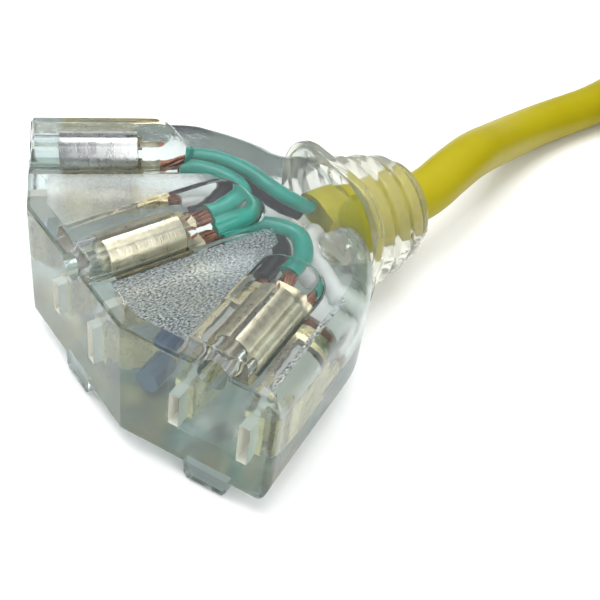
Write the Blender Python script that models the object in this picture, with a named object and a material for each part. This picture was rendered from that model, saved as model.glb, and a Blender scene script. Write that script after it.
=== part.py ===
"""Three-outlet power block on a heavy round cord.

The block is a fan of three grounded outlets in a clear moulded housing.  Inside it the contact
carriers, contacts, crimped wires and the indicator lamp are separate pieces.  The cord leaves
through a ribbed strain relief, runs over the floor into a tied hank and ends in a plug on it.

Metres, +Z up.  The outlets face -Y and the cord leaves towards +Y.  The origin is on the floor,
below the middle of the block.
"""
import math

import bmesh
import bpy
from mathutils import Matrix, Vector

# ---- driving dimensions -------------------------------------------------------------------
GAP = 0.0003                    # clearance between neighbouring pieces

FAN_ANGLE = math.radians(26.0)  # angle between neighbouring outlets
FACE_HALF = 0.0166              # outlet axis to the edge shared with the next face
SIDE_HALF = 0.0116              # outlet axis to the free outer side
BASE_Z = 0.0045                 # underside of the housing
SHOULDER_Z = 0.0285             # top of the shoulders and panels
RIDGE_Z = 0.0325                # top of the ridges over the ground contacts
RIDGE_TOP_HALF = 0.0053
RIDGE_FOOT_HALF = 0.00615
SIDE_RIDGE_LENGTH = 0.0300
CENTRE_RIDGE_LENGTH = 0.0370
SIDE_ROUND = 0.0042             # rounding of the long outer edges
CHAMBER_WALL = 0.0020
CHAMBER_FLOOR_Z = 0.0080
CHAMBER_ROOF_Z = 0.0265

BLADE_PITCH = 0.0127            # line slot to neutral slot
GROUND_RISE = 0.0119            # blade centres up to the ground hole
BLADE_Z = 0.0158                # height of the blade centres
GROUND_Z = BLADE_Z + GROUND_RISE
SLOT_WIDTH = 0.0019
LINE_SLOT_HEIGHT = 0.0069
NEUTRAL_SLOT_HEIGHT = 0.0083
GROUND_HOLE_RADIUS = 0.0026

FRONT_WALL = 0.0043             # face to the pocket that holds the carrier
CARRIER_HALF = 0.0094
CARRIER_DEPTH = 0.0140
CARRIER_TOP_Z = 0.0228
CRADLE_HALF = 0.0042
BARREL_RADIUS = 0.0031
BARREL_BORE = 0.0025
CONTACT_FRONT = 0.0054          # depth of the contact mouths behind the face
CONTACT_BACK = 0.0195
CRIMP_BACK = 0.0250
CRIMP_OFFSET = 0.0050           # outlet axis to the crimps of the blade contacts
LINE_CRIMP_Z = BLADE_Z + 0.0021
NEUTRAL_CRIMP_Z = BLADE_Z - 0.0021
GROUND_CRIMP_Z = 0.0244
WIRE_RADIUS = 0.0018
WIRE_SIDE = 0.00195             # the two wires of a crimp lie this far from its middle
WIRE_START = 0.0272             # depth at which the insulation starts
STRAND_RADIUS = 0.00105
STRAND_SIDE = 0.0013
GROUND_WIRE_Z = 0.0242

CORD_RADIUS = 0.0052
CORD_LENGTH = 7.62              # from the strain relief to the plug
AXIS_Z = 0.0150                 # height of the cord's axis in the strain relief
FLANGE_REACH = 0.0022           # flange beyond the neck
FLANGE_CORNER = 0.0091
FLANGE_FLOOR_Z = 0.0004
RELIEF_BACK = 0.0020            # end of the strain relief beyond the fan's pivot
NECK_BACK = -0.0188             # end of the housing, measured from the pivot
NECK_HALF = 0.0130
JACKET_FRONT = -0.0215          # cut end of the jacket, measured from the pivot

HANK_COLUMNS = 4                # turns side by side
HANK_ROWS = 4                   # turns on top of each other
HANK_PITCH = 0.0105             # between neighbouring turns
HANK_INNER = 0.0315             # end radius of the innermost turns
HANK_X = 0.0262                 # middle of the hank
HANK_NEAR_Y = 0.1850            # centre of the round end nearest the block
HANK_FLOOR = 0.0003
HANK_TURNS = 15                 # whole turns; the sixteenth is left after its first quarter
HANK_CHAMFER = 0.0042
TIE_WIDTH = 0.0200
TIE_THICKNESS = 0.0016

PLUG_SIDE = 0.0470              # plug's axis to the middle of the hank
PLUG_SETBACK = 0.0360           # rear end of the plug before the centre of the far round end
PLUG_HALF_HEIGHT = 0.0153
PLUG_RELIEF_LENGTH = 0.0240
PLUG_BODY_LENGTH = 0.0340
PLUG_BLADE_LENGTH = 0.0178
PLUG_PIN_LENGTH = 0.0205
PLUG_BLADE_Z = -0.0046          # blade centres below the plug's axis

LAMP_ACROSS = -0.0126           # lamp's axis from the right outlet's axis
LAMP_Z = 0.0172
LAMP_RADIUS = 0.0022

APOTHEM = FACE_HALF / math.tan(FAN_ANGLE / 2)
BODY_LENGTH = APOTHEM + RELIEF_BACK
PIVOT_Y = APOTHEM - BODY_LENGTH / 2
OUTLETS = {"left": -1, "centre": 0, "right": 1}
RIDGE_LENGTH = {"left": SIDE_RIDGE_LENGTH, "centre": CENTRE_RIDGE_LENGTH, "right": SIDE_RIDGE_LENGTH}


# ---- frames and small helpers -------------------------------------------------------------
def outlet_matrix(side):
    """Outlet frame: X across the face, Y into the block, Z up, origin on the face at the floor."""
    turn = Matrix.Rotation(side * FAN_ANGLE, 4, "Z")
    return Matrix.Translation((0, PIVOT_Y, 0)) @ turn @ Matrix.Translation((0, -APOTHEM, 0))


def outlet_point(side, across, depth, height):
    return outlet_matrix(side) @ Vector((across, depth, height))


def hub_point(x, y, height):
    """A point given from the fan's pivot."""
    return Vector((x, PIVOT_Y + y, height))


def make_material(name, colour, roughness, metallic=0.0, alpha=1.0):
    mat = bpy.data.materials.new(name)
    mat.use_nodes = True
    shader = mat.node_tree.nodes["Principled BSDF"]
    shader.inputs["Base Color"].default_value = (*colour, 1.0)
    shader.inputs["Roughness"].default_value = roughness
    shader.inputs["Metallic"].default_value = metallic
    shader.inputs["Alpha"].default_value = alpha
    mat.diffuse_color = (*colour, alpha)
    return mat


def clear_pvc(name):
    return make_material(name, (0.62, 0.68, 0.66), 0.18, alpha=0.35)


def brass(name):
    return make_material(name, (0.72, 0.58, 0.30), 0.25, metallic=1.0)


def nickel(name):
    return make_material(name, (0.72, 0.70, 0.64), 0.22, metallic=1.0)


def copper(name):
    return make_material(name, (0.55, 0.26, 0.14), 0.35, metallic=1.0)


def plastic(name, colour, roughness=0.45):
    return make_material(name, colour, roughness)


def mesh_object(name, bm, mat=None, matrix=None):
    """Turn a bmesh into a scene object with its faces pointing out."""
    bmesh.ops.recalc_face_normals(bm, faces=bm.faces)
    mesh = bpy.data.meshes.new(name)
    bm.to_mesh(mesh)
    bm.free()
    obj = bpy.data.objects.new(name, mesh)
    bpy.context.scene.collection.objects.link(obj)
    if matrix is not None:
        obj.matrix_world = matrix
    if mat is not None:
        mesh.materials.append(mat)
        mesh.shade_smooth()
        mesh.set_sharp_from_angle(angle=math.radians(35))
    return obj


def hide_cutter(obj):
    obj.hide_render = True
    obj.display_type = "WIRE"
    return obj


def boolean(obj, other, operation="DIFFERENCE"):
    modifier = obj.modifiers.new(other.name, "BOOLEAN")
    modifier.operation = operation
    modifier.solver = "EXACT"
    modifier.object = hide_cutter(other)


def prism(points, low, high):
    """Closed prism over a plan outline given as (x, y) points."""
    bm = bmesh.new()
    face = bm.faces.new([bm.verts.new((x, y, low)) for x, y in points])
    grown = bmesh.ops.extrude_face_region(bm, geom=[face])
    tops = [item for item in grown["geom"] if isinstance(item, bmesh.types.BMVert)]
    bmesh.ops.translate(bm, vec=(0, 0, high - low), verts=tops)
    return bm


def box(x_range, y_range, z_range):
    (x0, x1), (y0, y1) = x_range, y_range
    return prism([(x0, y0), (x1, y0), (x1, y1), (x0, y1)], *z_range)


def add_cylinder(bm, start, end, radius, sides=16):
    """Add a closed cylinder between two points to a bmesh."""
    start, end = Vector(start), Vector(end)
    axis = end - start
    turn = axis.to_track_quat("Z", "Y").to_matrix().to_4x4()
    place = Matrix.Translation((start + end) / 2) @ turn
    bmesh.ops.create_cone(bm, cap_ends=True, segments=sides, radius1=radius, radius2=radius,
                          depth=axis.length, matrix=place)
    return bm


def cylinder(start, end, radius, sides=16):
    return add_cylinder(bmesh.new(), start, end, radius, sides)


def turned(profile, sides=28):
    """Closed solid of revolution about Y from a closed (radius, y) profile with radius > 0."""
    bm = bmesh.new()
    rings = []
    for step in range(sides):
        angle = 2 * math.pi * step / sides
        rings.append([bm.verts.new((r * math.cos(angle), y, r * math.sin(angle))) for r, y in profile])
    count = len(profile)
    for step in range(sides):
        here, there = rings[step], rings[(step + 1) % sides]
        for i in range(count):
            j = (i + 1) % count
            bm.faces.new((here[i], here[j], there[j], there[i]))
    return bm


def lofted(sections):
    """Closed solid through rings of equal point count, capped at both ends."""
    bm = bmesh.new()
    rings = [[bm.verts.new(point) for point in section] for section in sections]
    for here, there in zip(rings[:-1], rings[1:]):
        for i in range(len(here)):
            j = (i + 1) % len(here)
            bm.faces.new((here[i], here[j], there[j], there[i]))
    bm.faces.new(rings[0])
    bm.faces.new(rings[-1])
    return bm


def smooth_curve(points, per_span=8):
    """Catmull-Rom curve through hand-placed points."""
    ends = [2 * points[0] - points[1]] + list(points) + [2 * points[-1] - points[-2]]
    path = []
    for a, b, c, d in zip(ends, ends[1:], ends[2:], ends[3:]):
        for step in range(per_span):
            t = step / per_span
            path.append(0.5 * (2 * b + (c - a) * t + (2 * a - 5 * b + 4 * c - d) * t * t
                               + (3 * b - a - 3 * c + d) * t ** 3))
    return path + [points[-1]]


def path_length(path):
    return sum((b - a).length for a, b in zip(path, path[1:]))


def spaced(path, spacing):
    """Read points off a path at nearly equal distances."""
    total = path_length(path)
    count = max(3, round(total / spacing))
    wanted = [total * i / count for i in range(count + 1)]
    points, walked, index = [], 0.0, 0
    for goal in wanted:
        while index < len(path) - 2 and walked + (path[index + 1] - path[index]).length < goal:
            walked += (path[index + 1] - path[index]).length
            index += 1
        step = path[index + 1] - path[index]
        points.append(path[index] + step * min(1.0, (goal - walked) / step.length))
    return points


def tube(name, path, radius, mat, resolution=2):
    """A cord or wire: a poly curve with a round bevel and filled caps."""
    curve = bpy.data.curves.new(name, "CURVE")
    curve.dimensions = "3D"
    curve.bevel_depth = radius
    curve.bevel_resolution = resolution
    curve.use_fill_caps = True
    spline = curve.splines.new("POLY")
    spline.points.add(len(path) - 1)
    for slot, point in zip(spline.points, path):
        slot.co = (*point, 1.0)
    curve.materials.append(mat)
    obj = bpy.data.objects.new(name, curve)
    bpy.context.scene.collection.objects.link(obj)
    return obj


# ---- housing ------------------------------------------------------------------------------
def neck_outline(inset=0.0):
    """Right-hand plan outline from the outer corner of the right face to the neck."""
    corner = outlet_point(1, SIDE_HALF - inset, 0, 0)
    bend = outlet_point(1, SIDE_HALF - inset, 0.0300, 0)
    reach = NECK_HALF - inset
    waist = [hub_point(reach + out, y, 0) for out, y in
             ((0.0128, -0.0288), (0.0084, -0.0248), (0.0040, -0.0216), (0.0010, -0.0200))]
    return [corner, bend] + waist + [hub_point(reach, NECK_BACK, 0)]


def plan_outline():
    right = neck_outline()
    edge = outlet_point(1, -FACE_HALF, 0, 0)
    half = [edge] + right
    mirrored = [Vector((-p.x, p.y, 0)) for p in reversed(half)]
    return [(p.x, p.y) for p in half + mirrored]


def on_outer_side(vert):
    """True on the two free sides, away from the faces and the neck end."""
    corner = outlet_point(1, SIDE_HALF, 0, 0)
    return abs(vert.co.x) < corner.x + GAP and vert.co.y > corner.y - GAP and abs(vert.co.x) > NECK_HALF - GAP


def housing_block():
    bm = prism(plan_outline(), BASE_Z, SHOULDER_Z)
    long_edges = []
    for edge in bm.edges:
        flat = abs(edge.verts[0].co.z - edge.verts[1].co.z) < GAP
        same_side = edge.verts[0].co.x * edge.verts[1].co.x > 0
        if flat and same_side and all(on_outer_side(v) for v in edge.verts):
            long_edges.append(edge)
    bmesh.ops.bevel(bm, geom=long_edges, offset=SIDE_ROUND, segments=3, profile=0.5, affect="EDGES")
    return bm


def ridge(side_name):
    """Raised rib over one ground contact, square at the face and round at the back."""
    length = RIDGE_LENGTH[side_name]
    rings = []
    low = SHOULDER_Z - 0.004
    for height, half in ((low, RIDGE_FOOT_HALF), (SHOULDER_Z, RIDGE_FOOT_HALF),
                         (RIDGE_Z - 0.0008, RIDGE_TOP_HALF + 0.0003), (RIDGE_Z, RIDGE_TOP_HALF - 0.0006)):
        lean = 0.0008 if height > SHOULDER_Z else 0.0002
        points = [(-half, lean), (half, lean)]
        for step in range(9):
            angle = math.pi * step / 8
            points.append((half * math.cos(angle), length - half + half * math.sin(angle)))
        rings.append([Vector((x, y, height)) for x, y in points])
    return lofted(rings)


def lug(side):
    """Small foot under the front of an outlet."""
    rings = []
    for height, half in ((0.0, 0.0028), (0.0014, 0.0041), (BASE_Z + 0.001, 0.0043)):
        rings.append([Vector((x, y, height)) for x, y in
                      ((-half, 0.0003), (half, 0.0003), (half, 0.0028), (-half, 0.0028))])
    return mesh_object(f"lug_shape_{side}", lofted(rings), matrix=outlet_matrix(side))


def slot_cutter(name, side, across, height):
    bm = box((across - SLOT_WIDTH / 2, across + SLOT_WIDTH / 2), (-0.002, FRONT_WALL + 0.002),
             (BLADE_Z - height / 2, BLADE_Z + height / 2))
    return mesh_object(name, bm, matrix=outlet_matrix(side))


def chamber_outline():
    """Plan of the hub chamber behind the carriers."""
    inset = CHAMBER_WALL
    front_right = outlet_point(1, SIDE_HALF - inset, 0.0180, 0)
    bend = outlet_point(1, SIDE_HALF - inset, 0.0300, 0)
    front_edge = outlet_point(1, -0.0050, 0.0180, 0)
    centre_edge = outlet_point(0, 0.0080, 0.0180, 0)
    waist = [hub_point(x, y, 0) for x, y in ((0.0230, -0.0288), (0.0180, -0.0250), (0.0120, -0.0221))]
    half = [centre_edge, front_edge, front_right, bend] + waist
    mirrored = [Vector((-p.x, p.y, 0)) for p in reversed(half)]
    return [(p.x, p.y) for p in half + mirrored]


def pocket_cutters(side_name):
    """Openings of one outlet: slots, ground hole, carrier pocket and ridge hollow."""
    side = OUTLETS[side_name]
    place = outlet_matrix(side)
    ridge_end = RIDGE_LENGTH[side_name] - 0.0018
    hole = cylinder((0, -0.002, GROUND_Z), (0, FRONT_WALL + 0.002, GROUND_Z), GROUND_HOLE_RADIUS, 20)
    lower = box((-CARRIER_HALF - GAP, CARRIER_HALF + GAP), (FRONT_WALL, 0.0260),
                (CHAMBER_FLOOR_Z + 0.0005, CARRIER_TOP_Z + GAP))
    upper = box((-CRADLE_HALF - GAP, CRADLE_HALF + GAP), (FRONT_WALL + GAP / 2, ridge_end - 0.0022),
                (CARRIER_TOP_Z - 0.0008, RIDGE_Z - 0.0011))
    return [slot_cutter(f"line_slot_{side_name}", side, -BLADE_PITCH / 2, LINE_SLOT_HEIGHT),
            slot_cutter(f"neutral_slot_{side_name}", side, BLADE_PITCH / 2, NEUTRAL_SLOT_HEIGHT),
            mesh_object(f"ground_hole_{side_name}", hole, matrix=place),
            mesh_object(f"carrier_pocket_{side_name}", lower, matrix=place),
            mesh_object(f"ridge_hollow_{side_name}", upper, matrix=place)]


def lamp_axis(depth, across=0.0, height=LAMP_Z):
    """Point near the lamp's axis, beside the right outlet on its inner side."""
    return outlet_point(1, LAMP_ACROSS + across, depth, height)


def build_housing():
    housing = mesh_object("housing", housing_block(), clear_pvc("clear_pvc"))
    for side_name, side in OUTLETS.items():
        shape = mesh_object(f"ridge_shape_{side_name}", ridge(side_name), matrix=outlet_matrix(side))
        boolean(housing, shape, "UNION")
        boolean(housing, lug(side), "UNION")
    for side_name in OUTLETS:
        for cutter in pocket_cutters(side_name):
            boolean(housing, cutter)
    chamber = mesh_object("hub_chamber", prism(chamber_outline(), CHAMBER_FLOOR_Z, CHAMBER_ROOF_Z))
    boolean(housing, chamber)
    bore = cylinder(hub_point(0, -0.0260, AXIS_Z), hub_point(0, -0.0150, AXIS_Z), CORD_RADIUS + GAP, 24)
    boolean(housing, mesh_object("jacket_bore", bore))
    lamp_pocket = cylinder(lamp_axis(0.0026), lamp_axis(0.0205), LAMP_RADIUS + GAP, 16)
    boolean(housing, mesh_object("lamp_pocket", lamp_pocket))
    return housing


# ---- inside an outlet ---------------------------------------------------------------------
def build_carrier(side_name):
    """Clear inner moulding that spaces the three contacts of an outlet."""
    side = OUTLETS[side_name]
    place = outlet_matrix(side)
    front, back = FRONT_WALL + GAP, FRONT_WALL + GAP + CARRIER_DEPTH
    block = box((-CARRIER_HALF, CARRIER_HALF), (front, back), (CHAMBER_FLOOR_Z + 0.0008, CARRIER_TOP_Z))
    carrier = mesh_object(f"contact_carrier_{side_name}", block, clear_pvc(f"clear_carrier_{side_name}"), place)
    cradle = box((-CRADLE_HALF, CRADLE_HALF), (front + 0.0002, back - 0.0002),
                 (CARRIER_TOP_Z - 0.002, GROUND_Z))
    boolean(carrier, mesh_object(f"cradle_shape_{side_name}", cradle, matrix=place), "UNION")
    for tag, across, height in (("line", -BLADE_PITCH / 2, 0.0086), ("neutral", BLADE_PITCH / 2, 0.0098)):
        bm = box((across - 0.0025, across + 0.0025), (front - 0.002, back + 0.002),
                 (BLADE_Z - height / 2, BLADE_Z + height / 2))
        boolean(carrier, mesh_object(f"{tag}_pocket_{side_name}", bm, matrix=place))
    bore = cylinder((0, front - 0.002, GROUND_Z), (0, back + 0.002, GROUND_Z), BARREL_RADIUS + GAP, 20)
    boolean(carrier, mesh_object(f"barrel_bore_{side_name}", bore, matrix=place))
    return carrier


def crimp_ring(across, height):
    """Flat oval ferrule along the depth, open at both ends, with a solid web at its front."""
    outer, inner = [], []
    for step in range(16):
        angle = 2 * math.pi * step / 16
        flat = 0.0014 if math.cos(angle) > 0 else -0.0014
        if abs(math.cos(angle)) < 0.01:
            flat = 0.0
        outer.append((across + flat + 0.0018 * math.cos(angle), height + 0.0018 * math.sin(angle)))
        inner.append((across + flat + 0.0013 * math.cos(angle), height + 0.0013 * math.sin(angle)))
    bm = bmesh.new()
    web, back = CONTACT_BACK + 0.0010, CRIMP_BACK
    rings = [[bm.verts.new((x, y, z)) for x, z in shape] for shape, y in
             ((outer, CONTACT_BACK - 0.0004), (outer, back), (inner, back), (inner, web))]
    for here, there in zip(rings[:-1], rings[1:]):
        for i in range(16):
            j = (i + 1) % 16
            bm.faces.new((here[i], here[j], there[j], there[i]))
    bm.faces.new(rings[0])
    bm.faces.new(rings[-1])
    return bm


def blade_contact_body(across, height):
    """Two spring leaves that pinch at the mouth and meet at the back."""
    front, back = CONTACT_FRONT, CONTACT_BACK
    right = [(0.0017, front), (0.0014, front + 0.0022), (0.0021, front + 0.0050), (0.0021, back)]
    inner = [(0.0012, back - 0.0010), (0.0012, front + 0.0052), (0.0005, front + 0.0024), (0.0008, front)]
    outline = [(across + x, y) for x, y in right]
    outline += [(across - x, y) for x, y in reversed(right)]
    outline += [(across - x, y) for x, y in reversed(inner)]
    outline += [(across + x, y) for x, y in inner]
    return prism(outline, BLADE_Z - height / 2, BLADE_Z + height / 2)


def build_blade_contact(circuit, side_name):
    side = OUTLETS[side_name]
    place = outlet_matrix(side)
    sign, height, crimp_z = (-1, 0.0078, LINE_CRIMP_Z) if circuit == "line" else (1, 0.0090, NEUTRAL_CRIMP_Z)
    body = blade_contact_body(sign * BLADE_PITCH / 2, height)
    contact = mesh_object(f"{circuit}_contact_{side_name}", body, brass(f"brass_{circuit}_{side_name}"), place)
    ferrule = crimp_ring(sign * CRIMP_OFFSET, crimp_z)
    boolean(contact, mesh_object(f"{circuit}_crimp_{side_name}", ferrule, matrix=place), "UNION")
    return contact


def build_ground_contact(side_name):
    """Rolled barrel with a slit, a tongue below it and a crimp for the green wires."""
    side = OUTLETS[side_name]
    place = outlet_matrix(side)
    profile = [(BARREL_RADIUS, CONTACT_FRONT), (BARREL_RADIUS, CONTACT_BACK + 0.001),
               (BARREL_BORE, CONTACT_BACK + 0.001), (BARREL_BORE, CONTACT_FRONT)]
    barrel = turned(profile, 20)
    bmesh.ops.translate(barrel, vec=(0, 0, GROUND_Z), verts=barrel.verts)
    contact = mesh_object(f"ground_contact_{side_name}", barrel, nickel(f"nickel_{side_name}"), place)
    slit = box((-0.0003, 0.0003), (CONTACT_FRONT - 0.001, CONTACT_BACK - 0.003), (GROUND_Z, GROUND_Z + 0.004))
    boolean(contact, mesh_object(f"barrel_slit_{side_name}", slit, matrix=place))
    tongue = box((-0.0012, 0.0012), (CONTACT_BACK - 0.0006, CONTACT_BACK + 0.0006),
                 (GROUND_CRIMP_Z - 0.0010, GROUND_Z - BARREL_BORE - 0.00005))
    boolean(contact, mesh_object(f"tongue_{side_name}", tongue, matrix=place), "UNION")
    ferrule = crimp_ring(0.0, GROUND_CRIMP_Z)
    boolean(contact, mesh_object(f"ground_crimp_{side_name}", ferrule, matrix=place), "UNION")
    return contact


# ---- wires --------------------------------------------------------------------------------
def wire_tail(side, across, crimp_z, level_z):
    """The straight start of a wire behind its crimp: two points, crimp end first."""
    return [outlet_point(side, across, WIRE_START, crimp_z),
            outlet_point(side, across, WIRE_START + 0.0030, level_z)]


def wire_routes():
    """Hand-placed routes: name, colour key and points."""
    g, l, n = GROUND_WIRE_Z, LINE_CRIMP_Z, NEUTRAL_CRIMP_Z

    def mirror(points):
        return [Vector((-p.x, p.y, p.z - l + n)) for p in points]

    line_in = wire_tail(-1, -CRIMP_OFFSET - WIRE_SIDE, l, l)
    line_lead = line_in + [hub_point(-0.0208, -0.0312, l), hub_point(-0.0150, -0.0296, l),
                           hub_point(-0.0090, -0.0284, l - 0.0006), hub_point(-0.0048, -0.0260, l - 0.0032),
                           hub_point(-0.0027, -0.0232, AXIS_Z - 0.0024)]
    line_1 = wire_tail(-1, -CRIMP_OFFSET + WIRE_SIDE, l, l)
    line_1 += [hub_point(-0.0185, -0.0346, l), hub_point(-0.0140, -0.0338, l), hub_point(-0.0098, -0.0358, l)]
    line_1 += wire_tail(0, -CRIMP_OFFSET - WIRE_SIDE, l, l)[::-1]
    line_2 = wire_tail(0, -CRIMP_OFFSET + WIRE_SIDE, l, l)
    line_2 += [hub_point(-0.0016, -0.0368, l), hub_point(0.0030, -0.0338, l), hub_point(0.0084, -0.0352, l)]
    line_2 += wire_tail(1, -CRIMP_OFFSET - WIRE_SIDE, l, l)[::-1]
    ground_lead = wire_tail(-1, -WIRE_SIDE, GROUND_CRIMP_Z, g)
    ground_lead += [hub_point(-0.0172, -0.0330, g), hub_point(-0.0118, -0.0302, g),
                    hub_point(-0.0058, -0.0288, g - 0.0006), hub_point(-0.0016, -0.0262, g - 0.0030),
                    hub_point(0.0, -0.0232, AXIS_Z + 0.0031)]
    ground_1 = wire_tail(-1, WIRE_SIDE, GROUND_CRIMP_Z, g)
    ground_1 += [hub_point(-0.0132, -0.0354, g), hub_point(-0.0084, -0.0340, g), hub_point(-0.0042, -0.0362, g)]
    ground_1 += wire_tail(0, -WIRE_SIDE, GROUND_CRIMP_Z, g)[::-1]
    ground_2 = wire_tail(0, WIRE_SIDE, GROUND_CRIMP_Z, g)
    ground_2 += [hub_point(0.0040, -0.0356, g), hub_point(0.0086, -0.0326, g), hub_point(0.0134, -0.0346, g)]
    ground_2 += wire_tail(1, -WIRE_SIDE, GROUND_CRIMP_Z, g)[::-1]
    neutral_lead = mirror(line_lead[:-2]) + [hub_point(0.0046, -0.0262, n - 0.0006),
                                             hub_point(0.0027, -0.0232, AXIS_Z - 0.0024)]
    return [("ground_lead", "green", ground_lead), ("ground_jumper_left", "green", ground_1),
            ("ground_jumper_right", "green", ground_2), ("line_lead", "black", line_lead),
            ("line_jumper_left", "black", line_1), ("line_jumper_right", "black", line_2),
            ("neutral_lead", "white", neutral_lead), ("neutral_jumper_right", "white", mirror(line_1)),
            ("neutral_jumper_left", "white", mirror(line_2))]


def build_wires():
    colours = {"green": (0.03, 0.36, 0.27), "black": (0.02, 0.02, 0.02), "white": (0.80, 0.80, 0.78)}
    for name, colour, points in wire_routes():
        path = spaced(smooth_curve(points), 0.0024)
        tube(name, path, WIRE_RADIUS, plastic(f"{name}_insulation", colours[colour]), resolution=2)


def build_strands(circuit, crimp_across, crimp_z, single):
    """Bare copper ends in the crimps of one circuit; the last outlet of the chain has one."""
    copper_ends = copper(f"copper_{circuit}")
    for side_name, side in OUTLETS.items():
        for tag, direction in (("a", -1), ("b", 1)):
            if side_name == single[0] and tag != single[1]:
                continue
            across = crimp_across + direction * STRAND_SIDE
            start = outlet_point(side, across, CONTACT_BACK + 0.0014, crimp_z)
            end = outlet_point(side, across, WIRE_START - GAP, crimp_z)
            bm = cylinder(start, end, STRAND_RADIUS, 10)
            mesh_object(f"{circuit}_strands_{side_name}_{tag}", bm, copper_ends)


# ---- indicator ----------------------------------------------------------------------------
def build_indicator():
    """Neon lamp between two outlets, with its resistor and leads."""
    glow = make_material("lamp_glass", (0.85, 0.62, 0.42), 0.1, alpha=0.35)
    lamp_front, lamp_back = 0.0029, 0.0120
    resistor_front, resistor_back = 0.0136, 0.0188
    bm = cylinder(lamp_axis(lamp_front), lamp_axis(lamp_back), LAMP_RADIUS, 16)
    mesh_object("indicator_lamp", bm, glow)
    resistor = cylinder(lamp_axis(resistor_front, 0.0006), lamp_axis(resistor_back, 0.0006), 0.0011, 12)
    mesh_object("lamp_resistor", resistor, plastic("resistor_body", (0.62, 0.50, 0.34)))
    wire = nickel("tinned_lead")
    front_lead = [lamp_axis(lamp_back + GAP, 0.0010), lamp_axis(lamp_back + 0.0007, 0.0009),
                  lamp_axis(resistor_front - GAP, 0.0006)]
    tube("lamp_lead_resistor", front_lead, 0.00035, wire)
    side_lead = [lamp_axis(lamp_back + GAP, -0.0010), lamp_axis(0.0150, -0.0015),
                 lamp_axis(0.0185, -0.0016), lamp_axis(0.0225, -0.0014, 0.0178)]
    tube("lamp_lead_line", side_lead, 0.00035, wire)


# ---- cord, strain relief, hank and plug ---------------------------------------------------
def relief_profile():
    """Outside of the ribbed cone: (radius, y from the pivot), from the flange to the cord."""
    return [(0.0112, -0.0168), (0.0112, -0.0152), (0.0134, -0.0146), (0.0136, -0.0116), (0.0114, -0.0108),
            (0.0114, -0.0100), (0.0126, -0.0096), (0.0126, -0.0068), (0.0104, -0.0060), (0.0104, -0.0053),
            (0.0115, -0.0049), (0.0114, -0.0026), (0.0090, -0.0018), (0.0090, -0.0012), (0.0098, -0.0009),
            (0.0094, 0.0006), (0.0074, 0.0014), (0.0068, RELIEF_BACK)]


def flange_ring(grow, y):
    """Rounded square round the neck, from the pivot and the floor."""
    corner = FLANGE_CORNER
    side, low, high = NECK_HALF + grow - corner, FLANGE_FLOOR_Z + corner, SHOULDER_Z + grow - corner
    points = []
    for x, z, start in ((side, high, 0), (-side, high, 90), (-side, low, 180), (side, low, 270)):
        for step in range(7):
            angle = math.radians(start + 90 * step / 6)
            points.append(hub_point(x + corner * math.cos(angle), y, z + corner * math.sin(angle)))
    return points


def build_strain_relief():
    """Flange against the block's neck and a ribbed cone behind it, on one bore."""
    rings = []
    for radius, y in relief_profile():
        rings.append([hub_point(radius * math.cos(a), y, AXIS_Z + radius * math.sin(a))
                      for a in (2 * math.pi * i / 32 for i in range(32))])
    relief = mesh_object("strain_relief", lofted(rings), clear_pvc("clear_relief"))
    steps = ((0.0016, -0.0185), (FLANGE_REACH, -0.0180), (FLANGE_REACH, -0.0168), (0.0010, -0.0160),
             (-0.0008, -0.0150))
    flange = mesh_object("flange", lofted([flange_ring(*step) for step in steps]))
    boolean(relief, flange, "UNION")
    start, end = hub_point(0, -0.0200, AXIS_Z), hub_point(0, RELIEF_BACK + 0.0010, AXIS_Z)
    bore = cylinder(start, end, CORD_RADIUS + GAP, 32)
    boolean(relief, mesh_object("relief_bore", bore))


def yellow_jacket(name):
    return plastic(name, (0.72, 0.62, 0.03), 0.38)


def build_jacket_end():
    bm = cylinder(hub_point(0, JACKET_FRONT, AXIS_Z), hub_point(0, RELIEF_BACK - GAP, AXIS_Z), CORD_RADIUS, 20)
    mesh_object("jacket_end", bm, yellow_jacket("jacket_yellow_end"))


# Route of the cord from the strain relief to the outermost turn of the hank.
RUN_ROUTE = [(0.0, 0.03695, 0.0150), (0.0, 0.0410, 0.0150), (-0.0006, 0.0452, 0.0154),
             (-0.0018, 0.0495, 0.0159), (-0.0035, 0.0550, 0.0160), (-0.0054, 0.0605, 0.0155),
             (-0.0076, 0.0665, 0.0141), (-0.0099, 0.0730, 0.0122), (-0.0123, 0.0800, 0.0102),
             (-0.0144, 0.0870, 0.0085), (-0.0163, 0.0950, 0.0070), (-0.0175, 0.1030, 0.00605),
             (-0.0180, 0.1110, 0.0056), (-0.0183, 0.1190, 0.0055), (-0.0196, 0.1290, 0.0055),
             (-0.0226, 0.1400, 0.0055), (-0.0270, 0.1510, 0.0055), (-0.0314, 0.1620, 0.0055),
             (-0.0349, 0.1730, 0.0055), (-0.0365, 0.1800, 0.0055), (-0.0368, 0.1850, 0.0055)]

# Route from the top of the hank's far end to the plug on top of it, from the centre of that end.
TAIL_ROUTE = [(0.0, 0.0630, 0.0370), (0.0165, 0.0612, 0.0378), (0.0315, 0.0556, 0.0402),
              (0.0440, 0.0455, 0.0445), (0.0520, 0.0330, 0.0492), (0.0545, 0.0185, 0.0536),
              (0.0525, 0.0035, 0.0566), (0.0492, -0.0120, 0.0578), (0.0472, -0.0250, 0.0578),
              (PLUG_SIDE, -PLUG_SETBACK, 0.0578)]


def turn_radius(column):
    """End radius of the turns in a column, counted from the inside."""
    return HANK_INNER + column * HANK_PITCH


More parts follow.
